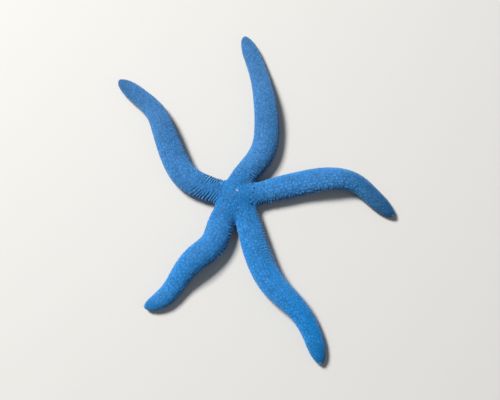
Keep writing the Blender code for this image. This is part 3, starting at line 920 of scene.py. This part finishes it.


# %% The blues
# DEEP_BLUE is painted shade in gaps, folds and pits, and the deeper blue near the tips. PALE_BLUE is a
# painted highlight on crowns, and the paler tone of some grains. The palest blue is a painted highlight on
# the tips of the fringe's tall grains, and the colour of a few pale grains.
DEEP_BLUE = (0.004, 0.030, 0.115)
CLEAR_BLUE = (0.001, 0.240, 0.650)
SOFT_BLUE = (0.060, 0.232, 0.540)
PALE_BLUE = (0.120, 0.470, 0.880)
HIGHLIGHT_AND_SPECK_BLUE = (0.450, 0.660, 0.880)
BELLY_BLUE = (0.190, 0.330, 0.460)
VELVET = {
    "Diffuse_Roughness": 1.0,
    "Sheen_Weight": 0.5,
    "Sheen_Roughness": 0.32,
    "Sheen_Tint": (0.78, 0.90, 1.0, 1),
}
# Where the blue is lighter or darker: read along what, from where to where, and how light at each end.
# The x row and the last row darken the tips of the right and lower right arms: painted shade.
TONES_AND_PAINTED_SHADE = (
    ("reach", 0.080, 0.150, 1, 0.95),
    ("reach", 0.010, 0.032, 0.96, 1),
    ("y", 0.015, 0.060, 1, 0.93),
    ("x", 0.066, 0.098, 1, 0.48),
    ("y", -0.130, -0.095, 0.78, 1),
)


def body_colour(paint, crown, gap, belly, light=1.0):
    """The star's colour: clear or soft blue by region, pale on crowns as a painted highlight, deep blue in
    gaps as painted shade and near the tips, and greyer below.
    """
    x, y = paint.places()
    across, up = x - DISC_CENTRE[0], y - DISC_CENTRE[1]
    reach = paint.node("ShaderNodeMath", {"operation": "SQRT"}, {0: across * across + up * up})
    hub = paint.stretch(reach, 0.010, 0.032, 1, 0)
    drift = y * 4.9 - x * 1.2 + 0.62 - 0.22 * hub + (paint.noise(0.03) - 0.5) * 0.7
    blue = paint.mixed(drift.clamped(), CLEAR_BLUE, SOFT_BLUE)
    blue = paint.mixed(crown * 0.6, blue, PALE_BLUE)
    blue = paint.mixed(belly * 0.85, blue, BELLY_BLUE)
    patches = paint.stretch(paint.noise(0.006, 4, 0.6), 0.32, 0.68, 0.88, 1.10)
    mottle = paint.stretch(paint.noise(0.0010, 2, 0.6), 0.36, 0.62, 0.84, 1.14)
    tone = patches * mottle * light
    for along, *ends_and_tones in TONES_AND_PAINTED_SHADE:
        tone = tone * paint.stretch({"x": x, "y": y, "reach": reach}[along], *ends_and_tones)
    tone = paint.node("ShaderNodeCombineXYZ", {}, {i: tone for i in range(3)})
    shaded = paint.node("ShaderNodeVectorMath", {"operation": "MULTIPLY"}, {0: blue, 1: tone})
    return paint.mixed((gap * 0.92).clamped(), shaded, DEEP_BLUE)


def skin_paint():
    """The skin: colours by its attributes, dimmed to 0.74 as painted shade between the grains, with
    grains of 0.45 mm as bumps.
    """
    paint = Paint("blue_skin_grained", 0.62, Specular_IOR_Level=0.12, **VELVET)
    # The 0.74 dims the whole skin, which shows only between the grains: painted shade.
    colour = body_colour(paint, *(paint.attribute(name) for name in ("crown", "gap", "belly")), 0.74)
    rough = paint.stretch(paint.noise(0.0012), 0.3, 0.7, 0.5, 0.72)
    return paint.finish(colour, 1 - paint.cells(0.00045), 0.00010, 0.8, rough)


# %% The skin piece
markings_and_painted_light = {"crown": crown, "gap": painted_gap_shade_and_tip_blue, "belly": belly}
skin = make_piece("skin", skin_points, [quads, fans], markings_and_painted_light, skin_uv())
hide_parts(*[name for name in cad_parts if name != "sieve_plate"])
dressed(skin, skin_paint())
print("skin triangles:", len(quads) * 2 + len(fans))

# %% [markdown]
# ## Many small turned shapes at once
#
# Grains, feet and spines are all small turned shapes: a profile carried round an axis. Hundreds of
# separate objects would be slow, and instances are lost in the export, so each kind is one mesh,
# worked out as one array with an axis for every shape.


# %% Turned shapes in bulk
def turned_shapes(roots, axes, radius, length, profile, sides, uneven=0.0):
    """Closed shapes, one a root: rings of (radius share, length share) round its axis, a base and a point.

    Each is turned its own way, and its corners lie in or out by a random share up to uneven. Returns
    the points as (shapes, points, 3), one shape's faces, and each point's place across it, for its UV.
    """
    guide = np.where(np.abs(axes[:, 2:]) < 0.9, [[0.0, 0.0, 1.0]], [[1.0, 0.0, 0.0]])
    right = unit(np.cross(axes, guide))
    ahead = np.cross(axes, right)
    turn = 2 * math.pi * np.arange(sides) / sides
    own_turn = turn + chance.uniform(0, 2 * math.pi, (len(roots), 1))
    spoke = np.cos(own_turn)[..., None] * right[:, None, :] + np.sin(own_turn)[..., None] * ahead[:, None, :]
    spoke = spoke * chance.uniform(1 - uneven, 1 + uneven, (len(roots), sides, 1))
    wide, high = np.array(profile[:-1]).T
    rings = roots[:, None, None] + spoke[:, None] * (radius[:, None] * wide)[..., None, None]
    rings = rings + axes[:, None, None] * (length[:, None] * high)[..., None, None]
    point = roots + axes * (length * profile[-1][1])[:, None]
    points = np.concatenate([rings.reshape(len(roots), -1, 3), point[:, None]], 1)
    ring = np.arange(sides)
    beside = (ring + 1) % sides
    low = sides * np.arange(len(wide) - 1)[:, None]
    sheets = np.stack([low + ring, low + beside, low + sides + beside, low + sides + ring], -1)
    last = sides * (len(wide) - 1)
    fan = np.stack([last + ring, last + beside, np.full(sides, last + sides)], -1)
    flat = (np.stack([np.cos(turn), np.sin(turn)], -1) * wide[:, None, None]).reshape(-1, 2)
    return points, (sheets.reshape(-1, 4), fan, ring[None, ::-1]), np.r_[flat, [[0, 0]]]


def make_coat(name, shapes, faces, flat, root_uv, attributes, material):
    """One piece from many equal shapes, each a UV patch 0.003 across at its root's place on the map.

    An attribute has a value for each shape, or one for each point.
    """
    count, size = shapes.shape[:2]
    start = size * np.arange(count)[:, None, None]
    uv = root_uv[:, None, :] + 0.0015 * flat[None]
    parts, corner_uv = [], []
    for part in faces:
        parts.append((start + part[None]).reshape(-1, part.shape[1]))
        corner_uv.append(uv[:, part.ravel()].reshape(-1, 2))
    spread = {}
    for key, values in attributes.items():
        spread[key] = values if len(values) > count else np.repeat(values, size)
    piece = make_piece(name, shapes.reshape(-1, 3), parts, spread, np.concatenate(corner_uv))
    dressed(piece, material)
    print(name, count, "shapes,", sum(len(part) * (part.shape[1] - 2) for part in parts), "triangles")


# %% [markdown]
# ## The grained coat
#
# Over the plates the skin carries small flat grains, set as close as they fit. They break up the
# light and give the star its velvety look. Each is a low button of eight sides, a little uneven.
# They stand in rows, turn and turn about like the plates, and are thinned near the mouth and in
# the tips, where the rows run together. On the fringe they stand taller. Each arm's grains are two
# pieces, so that no mesh grows too large for the export.

# %% Where the sieve plate sits
SIEVE_TURN, SIEVE_FROM_CENTRE, SIEVE_RADIUS = math.radians(83), 4.4 * MM, 1.8 * MM
sieve_xy = DISC_CENTRE + SIEVE_FROM_CENTRE * np.array([math.cos(SIEVE_TURN), math.sin(SIEVE_TURN)])
above = np.flatnonzero(skin_out[:, 2] > 0.5)
sieve_at = skin_points[above[np.linalg.norm(skin_points[above, :2] - sieve_xy, axis=1).argmin()]].copy()
sieve_at[:2] = sieve_xy
print("sieve plate at, mm:", (sieve_at / MM).round(2))

# %% Spots for the grains
GRAIN_PITCH, GRAIN_GAP, GRAIN_WOBBLE = 0.96 * MM, 0.76 * MM, 0.14
GRAIN_RADIUS, GRAIN_HEIGHT = 0.52 * MM, 0.19 * MM
GRAIN_PROFILE = ((1.0, -0.7), (0.74, 0.58), (0, 1.0))
GRAIN_SIDES, GRAIN_UNEVEN = 8, 0.08
PLACE_WIDTH, ROW_CLOSENESS, OUTER_ROW = 0.70 * MM, 0.87, 39
FULL_HALF, CROWDED_END = 9.6 * MM, 24 * MM
BARE_ROUND_PLATE, BARE_ROUND_PIT, BARE_ROUND_MOUTH = 1.9 * MM, 0.85 * MM, 5.2 * MM
SKIN_LAYERS = np.column_stack([skin_points, skin_out, crown, painted_gap_shade_and_tip_blue, belly, furrow_rise])


def spots_on_skin(i, s, k):
    """The skin at (s, k) on arm i: place, way out, crown, gap, belly, furrow and UV."""
    values = on_grid(SKIN_LAYERS[numbers[i]], distances[i], s, k)
    return values[:, :3], unit(values[:, 3:6]), *values[:, 6:].T, strip_uv(i, s, k % COUNT)


def grain_spots(arm):
    """Rows of spots round the arm, with more rows between them on the disc, the outermost spots first."""
    rows = np.arange(-OUTER_ROW, OUTER_ROW + 0.1, GRAIN_PITCH * ROW_CLOSENESS / PLACE_WIDTH)
    s, k = row_spots(arm.length, 0.3 * MM, GRAIN_PITCH, rows, GRAIN_WOBBLE)
    more_s, more_k = row_spots(DISC_END, 0.7 * MM, GRAIN_PITCH, (rows[1:] + rows[:-1]) / 2, GRAIN_WOBBLE)
    s, k = np.r_[s, more_s], np.r_[k, more_k]
    order = np.argsort(-s)
    return s[order], k[order]


def takes_grain(arm, s, place, gap, furrow, size):
    """Which spots take a grain: off furrow, gaps, sieve plate, tips, pits and mouth, and not crowded."""
    keep = (furrow < 0.15 * MM) & (gap < 0.7)
    bare_places = np.vstack([sieve_at[None], ends])
    keep &= np.linalg.norm(place[:, None] - bare_places, axis=-1).min(1) > BARE_ROUND_PLATE
    keep &= np.linalg.norm(place[:, None, :2] - PITS[:2], axis=-1).min(1) > BARE_ROUND_PIT
    keep &= (np.linalg.norm(place[:, :2] - DISC_CENTRE, axis=-1) > BARE_ROUND_MOUTH) | (place[:, 2] > 6 * MM)
    crowded = keep & ((s < CROWDED_END) | (s > arm.tip_from))
    keep[crowded] = thinned(place[crowded], GRAIN_GAP * size[crowded])
    return keep


# %% Grains
def make_grains(i, arm):
    """The grains of one arm, smaller in gaps and below, larger on plates, and taller in the fringe."""
    s, k = grain_spots(arm)
    place, out, top, gap, low, furrow, uv = spots_on_skin(i, s, k)
    size = np.minimum(1, arm.half_width(s) / FULL_HALF) ** 0.6
    keep = takes_grain(arm, s, place, gap, furrow, size)
    spots = (place, out, top, gap, low, uv, s, k, size)
    place, out, top, gap, low, uv, s, k, size = (value[keep] for value in spots)
    size = size * (0.84 + 0.24 * top) * chance.uniform(0.85, 1.12, len(place))
    size = size * (1 - 0.42 * gap) * (1 - 0.15 * low)
    tone = chance.uniform(0, 1, len(place))
    tall = fringed(arm, s, k) * clustered(along_line(arm, place[:, :2], s), k)
    tall = tall * chance.uniform(0.6, 1.0, len(place))
    radius, height = GRAIN_RADIUS * size * (1 - 0.2 * tall), GRAIN_HEIGHT * size * (1 + 3.2 * tall)
    # The fringe's tall grains get a painted highlight: their crown rises towards 1.8, which pales their tips.
    top = np.maximum(top, 1.8 * tall)
    turned = turned_shapes(place, out, radius, height, GRAIN_PROFILE, GRAIN_SIDES, GRAIN_UNEVEN)
    for half, own in (("inner", s < 0.5 * arm.length), ("outer", s >= 0.5 * arm.length)):
        values = {"crown": top[own], "gap": gap[own], "belly": low[own], "tone": tone[own]}
        make_coat(f"grains_{arm.name}_{half}", turned[0][own], *turned[1:], uv[own], values, grain_material)


def grain_paint():
    """The grains: the skin's colours, each grain a little lighter or darker, a painted highlight on the
    fringe's tall grains, and a few very pale.
    """
    paint = Paint("blue_grains", 0.60, Specular_IOR_Level=0.10, **VELVET)
    gap, tone, crown = (paint.attribute(name) for name in ("gap", "tone", "crown"))
    light = paint.stretch(tone, 0, 1, 0.90, 1.17)
    colour = body_colour(paint, crown + 0.25 * tone, gap * 0.9, paint.attribute("belly"), light)
    colour = paint.mixed(paint.stretch(crown, 0.95, 1.8, 0, 0.55), colour, HIGHLIGHT_AND_SPECK_BLUE)
    colour = paint.mixed(paint.stretch(tone, 0.997, 0.998, 0, 0.5), colour, HIGHLIGHT_AND_SPECK_BLUE)
    return paint.finish(colour, paint.cells(0.00035), 0.00006, 0.6)


grain_material = grain_paint()
for i, arm in enumerate(arms):
    make_grains(i, arm)

# %% [markdown]
# ## Tube feet
#
# The star walks on two rows of tube feet in each furrow. A foot is a soft stalk that ends in a
# sucker. Each is turned from one profile, leans its own way, and reaches down to just above the
# floor. They are far too many to place by hand, and a sculpted row would look like a zip.

# %% Feet
FOOT_PITCH, FOOT_RADIUS, FOOT_LENGTH = 1.2 * MM, 0.80 * MM, 7.5 * MM
FEET_START, FEET_STOP, FOOT_CLEARANCE = 6.5 * MM, 8 * MM, 0.25 * MM
FOOT_PROFILE = (
    (0.60, -0.12), (0.62, 0.1), (0.50, 0.45), (0.52, 0.74), (0.92, 0.88), (1.0, 0.95), (0.74, 1.0), (0, 0.95)
)


def make_feet():
    """Feet turn and turn about on both sides of each furrow, from its roof down to just off the floor."""
    sets = []
    for i, arm in enumerate(arms):
        s = np.arange(FEET_START, arm.length - FEET_STOP, FOOT_PITCH)
        side = (-1.0) ** np.arange(len(s))
        here, _, across = arm.place(s)
        wide, deep = arm.furrow(s)
        roof = arm.underside(s) + PAD_RISE + deep
        root = np.column_stack([here + across * (side * 0.47 * wide)[:, None], roof])
        axis = unit(np.column_stack([chance.normal(0, 0.13, (len(s), 2)), -np.ones(len(s))]))
        length = np.minimum(roof - FOOT_CLEARANCE, FOOT_LENGTH)
        sets.append((root, axis, length, strip_uv(i, s, COUNT / 2 + side)))
    roots, axes, lengths, uvs = (np.concatenate(part) for part in zip(*sets))
    radius = FOOT_RADIUS * chance.uniform(0.85, 1.1, len(roots))
    shapes, faces, flat = turned_shapes(roots, axes, radius, lengths, FOOT_PROFILE, 9)
    down = np.clip((roots[:, None, 2] - shapes[..., 2]) / lengths[:, None], 0, 1)
    values = {"tone": chance.uniform(0, 1, len(roots)), "down": down.ravel()}
    make_coat("tube_feet", shapes, faces, flat, uvs, values, foot_paint())


def foot_paint():
    """Feet: cream suckers on stalks that are dark blue-grey at the root and grey further down, with a
    fine grain as bumps.
    """
    paint = Paint("foot_flesh", 0.42, Specular_IOR_Level=0.5)
    stops = [(0.0, (0.10, 0.20, 0.30)), (0.5, (0.46, 0.48, 0.42)), (0.85, (0.74, 0.68, 0.52))]
    stalk = paint.node("ShaderNodeValToRGB", {"stops": stops}, {"Fac": paint.attribute("down")})
    colour = paint.mixed(paint.attribute("tone") * 0.3, stalk, (0.60, 0.62, 0.58))
    return paint.finish(colour, paint.noise(0.0004, 2), 0.00008, 0.6)


make_feet()

# %% [markdown]
# ## Spines of the furrow and the mouth
#
# Two rows of short blunt spines fold in over the edges of each furrow and guard the feet. At the
# mouth, each of the five corners between the furrows carries a fan of longer ones. All are the
# same turned peg, laid almost level so that none reaches the floor.

# %% Spines
PEG_PROFILE = ((0.85, -0.25), (1.0, 0.1), (0.95, 0.6), (0.70, 0.9), (0, 1.0))
CORNER_TURN = math.radians(36)
# Two rows beside each furrow's edge, in mm: how far beyond it, the pitch, the length and the radius.
SPINE_ROWS = ((0.15, 0.95, 1.75, 0.34), (1.25, 1.15, 1.15, 0.44))


def furrow_spines():
    """Two rows on each side of a furrow: slim ones that lean in over the feet, and stouter ones behind."""
    sets = []
    for i, arm in enumerate(arms):
        for beyond, pitch, long, thick in SPINE_ROWS:
            for side in (-1, 1):
                s = np.arange(5.6 * MM, arm.length - 4 * MM, pitch * MM)
                s = s + chance.normal(0, 0.08 * pitch * MM, len(s))
                here, along, across = arm.place(s)
                size = arm.size(s) * chance.uniform(0.85, 1.1, len(s))
                out = arm.furrow(s)[0] + beyond * MM * arm.size(s)
                level = np.maximum(PAD_RISE * arm.half_width(s) / FULL_HALF, thick * MM * size) + 0.1 * MM
                root = np.column_stack([here + side * across * out[:, None], level + arm.underside(s)])
                lean = -side * across + along * chance.normal(0, 0.18, (len(s), 1))
                axis = unit(np.column_stack([lean, np.full(len(s), 0.12)]))
                uv = strip_uv(i, s, np.full(len(s), COUNT / 2 - side * (5 + 1.5 * beyond)))
                sets.append((root, axis, thick * MM * size, long * MM * size, uv))
    return sets


def mouth_spines():
    """Nine pegs in a fan at each corner of the mouth, which lies between two furrows."""
    fan = np.arange(-4, 5)
    corner = np.repeat(ARM_TURNS + CORNER_TURN, len(fan))
    fan = np.tile(fan, len(arms))
    turn = corner + fan * 0.085
    out = np.column_stack([np.cos(turn), np.sin(turn)])
    reach = (5.0 + 0.32 * np.abs(fan)) * MM
    root = np.column_stack([DISC_CENTRE + out * reach[:, None], np.full(len(turn), 2.25 * MM)])
    lean = turn + math.pi + fan * 0.05
    axis = unit(np.column_stack([np.cos(lean), np.sin(lean), np.full(len(turn), 0.10)]))
    size = chance.uniform(0.9, 1.1, len(turn)) * (1 - 0.05 * np.abs(fan))
    uv = np.column_stack([np.full(len(turn), 0.03), (np.arange(len(turn)) % 5 + 0.5) / 5])
    return [(root, axis, 0.42 * MM * size, 2.9 * MM * size, uv)]


def spine_paint():
    """Spines: pale blue-grey, creamier in places, with a fine grain."""
    paint = Paint("spine_blue", 0.5, Specular_IOR_Level=0.4)
    colour = paint.mixed(paint.attribute("tone") * 0.8, (0.16, 0.30, 0.44), (0.42, 0.46, 0.46))
    return paint.finish(colour, paint.cells(0.0003), 0.00005, 0.6)


spine_material = spine_paint()
for name, sets in (("furrow_spines", furrow_spines()), ("mouth_spines", mouth_spines())):
    root, axis, radius, length, uv = (np.concatenate(part) for part in zip(*sets))
    turned = turned_shapes(root, axis, radius, length, PEG_PROFILE, 7)
    make_coat(name, *turned, uv, {"tone": chance.uniform(0, 1, len(root))}, spine_material)

# %% [markdown]
# ## Round pieces: the mouth's skin and the sieve plate
#
# The mouth is closed by a thin puckered skin. The sieve plate, the star's water inlet, is a button
# with grooves that run out from its middle. Both could be lathed, but their folds and grooves run
# outwards, so they are polar grids: a height as a function of the distance and the turn from the
# middle, with a flat base that closes them.


# %% Polar pieces
def polar_piece(name, centre, radius, shares, height, sides, drop):
    """A closed round piece: rings from the middle out, and the rim drawn to a flat base by the drop."""
    turn = 2 * math.pi * np.arange(sides) / sides
    share, angle = np.meshgrid(shares, turn, indexing="ij")
    across = radius * share
    spread = np.stack([across * np.cos(angle), across * np.sin(angle), height(share, angle)], -1)
    rim = spread[-1] * [1, 1, 0] + [0, 0, -drop]
    top = [[0, 0, float(height(np.array(0.0), np.array(0.0)))]]
    points = np.concatenate([top, spread.reshape(-1, 3), rim]) + centre
    ring = np.arange(sides)
    beside = (ring + 1) % sides
    low = 1 + sides * np.arange(len(shares))[:, None]
    sheets = np.stack([low + ring, low + sides + ring, low + sides + beside, low + beside], -1).reshape(-1, 4)
    fan = np.stack([np.zeros(sides, int), 1 + ring, 1 + beside], -1)
    base = (1 + sides * len(shares) + ring[::-1])[None]
    faces = [part if drop > 0 else part[:, ::-1] for part in (sheets, fan, base)]
    shade = np.r_[0, np.repeat(shares, sides), np.ones(sides)]
    uv = 0.5 + 0.45 * (points[:, :2] - centre[:2]) / radius
    corner_uv = np.concatenate([uv[part.ravel()] for part in faces])
    return make_piece(name, points, faces, {"outward": shade}, corner_uv)


# %% The mouth's skin
MEMBRANE_RADIUS, MEMBRANE_LEVEL, MEMBRANE_DROP = 4.5 * MM, 5.0 * MM, -1.9 * MM


def membrane_height(share, turn):
    """A low funnel with radial folds that fade outwards, drawn up to a closed point in the middle."""
    folds = 0.30 * MM * np.cos(20 * turn) * hump(share - 0.35)
    return -folds + 1.1 * MM * (1 - ease(share, 0.05, 0.5))


def membrane_paint():
    """The mouth's skin: nearly black in its middle as painted shade for an opening that the mesh
    closes, and grey and cream beyond in soft patches.
    """
    paint = Paint("mouth_flesh", 0.4)
    patches = paint.mixed(paint.noise(0.0012), (0.24, 0.32, 0.38), (0.55, 0.48, 0.38))
    colour = paint.mixed(paint.stretch(paint.attribute("outward"), 0.05, 0.3), (0.02, 0.015, 0.015), patches)
    return paint.finish(colour, paint.noise(0.0005), 0.0001, 0.6)


membrane_at, membrane_rings = np.r_[DISC_CENTRE, MEMBRANE_LEVEL], np.linspace(0.06, 1, 22)
membrane = polar_piece(
    "mouth_skin", membrane_at, MEMBRANE_RADIUS, membrane_rings, membrane_height, 80, MEMBRANE_DROP
)
dressed(membrane, membrane_paint())

# %% The sieve plate
STREAK_LONG, STREAK_WIDE = 1.15 * MM, 0.50 * MM


def sieve_height(share, turn):
    """A dome with grooves that run out from the middle and wander, doubling towards the rim."""
    dome = 0.62 * MM * (1 - share**2.4)
    wander = 1.2 * np.sin(share * 7 + 2 * turn) + 0.8 * np.sin(3 * turn)
    grooves = 0.5 + 0.5 * np.cos(13 * turn + wander)
    outer = 0.5 + 0.5 * np.cos(26 * turn + 2 * wander)
    cut = np.where(share < 0.55, grooves, outer)
    return dome - 0.14 * MM * cut * ease(share, 0.08, 0.3) * (1 - ease(share, 0.92, 1.0))


def sieve_paint():
    """The sieve plate: blue at its rim, with a pale and faintly pink oval streak in its middle, a
    painted highlight.
    """
    paint = Paint("sieve_plate_blue", 0.5)
    pale = paint.mixed(paint.noise(0.0006), (0.36, 0.34, 0.60), (0.66, 0.46, 0.60))
    x, y = paint.places()
    along = (x - sieve_at[0]) * 0.82 - (y - sieve_at[1]) * 0.57
    across = (x - sieve_at[0]) * 0.57 + (y - sieve_at[1]) * 0.82
    away = (along * along) * (1 / STREAK_LONG**2) + (across * across) * (1 / STREAK_WIDE**2)
    colour = paint.mixed(paint.stretch(away, 0.3, 1.1), pale, (0.03, 0.22, 0.55))
    return paint.finish(colour, paint.cells(0.0003), 0.00004, 0.6)


sieve_rings = np.linspace(0.04, 1, 24)
sieve = polar_piece(
    "madreporite", sieve_at - [0, 0, 0.1 * MM], SIEVE_RADIUS, sieve_rings, sieve_height, 96, 0.5 * MM
)
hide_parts("sieve_plate")
dressed(sieve, sieve_paint())

# %% [markdown]
# ## Tips and eye spots
#
# Each arm ends in one smooth rounded shield, with a dark red eye spot under it that senses light.
# They could be part of the skin, but as turned buttons sunk into it they keep a crisp edge.

# %% Shields and eye spots
SHIELD_PROFILE = ((1.0, -0.5), (0.98, 0.15), (0.80, 0.60), (0.45, 0.90), (0, 1.0))
TIP_PARTS = (("tip_shields", 1.35 * MM, 0.42 * MM), ("eye_spots", 0.42 * MM, 0.22 * MM))
SHIELD_SPOT, EYE_SPOT, SHIELD_SINK = (0.9 * MM, 4.0), (0.35 * MM, 30.0), 0.1 * MM


def tip_spots(back, k):
    """The skin's place, way out and UV on each arm, this far back from its tip and at ring place k."""
    spots = [spots_on_skin(i, np.array([arm.length - back]), np.array([k])) for i, arm in enumerate(arms)]
    return (np.concatenate(part) for part in list(zip(*spots))[:2] + list(zip(*spots))[-1:])


def tip_paint(name):
    """A shield has the markings of the skin round it. An eye spot is a dark brownish red."""
    paint = Paint(name + "_finish", 0.45)
    if name == "eye_spots":
        colour = paint.mixed(paint.noise(0.0004), (0.20, 0.03, 0.02), (0.32, 0.07, 0.03))
    else:
        # A shield takes the skin's colours round it, with the same painted shade on the right and lower right
        # tips. An eye spot is a dark brownish red.
        gap, belly = paint.noise(0.002) * 0.2 + 0.1, paint.noise(0.002) * 0.3
        colour = body_colour(paint, paint.attribute("tone") * 0.8, gap, belly)
    return paint.finish(colour, paint.cells(0.0004), 0.00006, 0.5)


shield_root, shield_out, tip_uv = tip_spots(*SHIELD_SPOT)
eye_root, eye_out, _ = tip_spots(*EYE_SPOT)
tip_places = ((shield_root - shield_out * SHIELD_SINK, shield_out), (eye_root, eye_out))
for (name, radius, high), (root, out) in zip(TIP_PARTS, tip_places):
    count = len(root)
    turned = turned_shapes(root, unit(out), np.full(count, radius), np.full(count, high), SHIELD_PROFILE, 18)
    make_coat(name, *turned, tip_uv, {"tone": chance.uniform(0, 1, count)}, tip_paint(name))

# %% [markdown]
# ## The floor, the light and the camera
#
# The camera looks down at 13 degrees from upright, as in the photograph. One large soft lamp stands
# to the upper left, and a faint one and a pale sky fill the shadows. A plain matt floor lets the
# blue stand out.

# %% Floor
floor_mesh = bpy.data.meshes.new("floor")
floor_mesh.from_pydata([(-2, -2, 0), (2, -2, 0), (2, 2, 0), (-2, 2, 0)], [], [(0, 1, 2, 3)])
floor = bpy.data.objects.new("floor", floor_mesh)
bpy.context.scene.collection.objects.link(floor)
floor_paint = Paint("pale_floor", 0.8)
floor_colour = floor_paint.mixed(floor_paint.noise(0.05) * 0.25, (0.60, 0.595, 0.58), (0.56, 0.555, 0.54))
floor_paint.put(floor_paint.shader.inputs["Base Color"], floor_colour)
floor.data.materials.append(floor_paint.material)

# %% Camera
TARGET, CAMERA_FROM_TARGET = Vector((-2.9, -7.6, 8.0)) * MM, 555.6 * MM
TILT = math.radians(13)
camera_data = bpy.data.cameras.new("camera")
camera_data.lens, camera_data.sensor_width = 50, 36
camera_data.clip_start, camera_data.clip_end = 0.01, 20
camera = bpy.data.objects.new("camera", camera_data)
camera.location = TARGET + CAMERA_FROM_TARGET * Vector((0, -math.sin(TILT), math.cos(TILT)))
camera.rotation_euler = (TILT, 0, 0)
bpy.context.scene.collection.objects.link(camera)
bpy.context.scene.camera = camera


# %% Lights
def lamp(name, place, size, power, colour):
    """A square soft lamp that faces the star."""
    data = bpy.data.lights.new(name, "AREA")
    data.size, data.energy, data.color = size, power, colour
    made = bpy.data.objects.new(name, data)
    made.location = place
    made.rotation_euler = (TARGET - Vector(place)).to_track_quat("-Z", "Y").to_euler()
    bpy.context.scene.collection.objects.link(made)


lamp("key", (-1.22, 0.98, 2.13), size=0.70, power=104.0, colour=(1.0, 0.98, 0.95))
lamp("fill", (0.9, -0.5, 0.9), size=1.0, power=0.8, colour=(0.9, 0.95, 1.0))
world = bpy.data.worlds.new("studio")
world.use_nodes = True
sky = world.node_tree.nodes["Background"].inputs
sky["Color"].default_value, sky["Strength"].default_value = (0.85, 0.92, 1.0, 1), 0.19
bpy.context.scene.world = world
bpy.context.scene.view_settings.view_transform = "Standard"
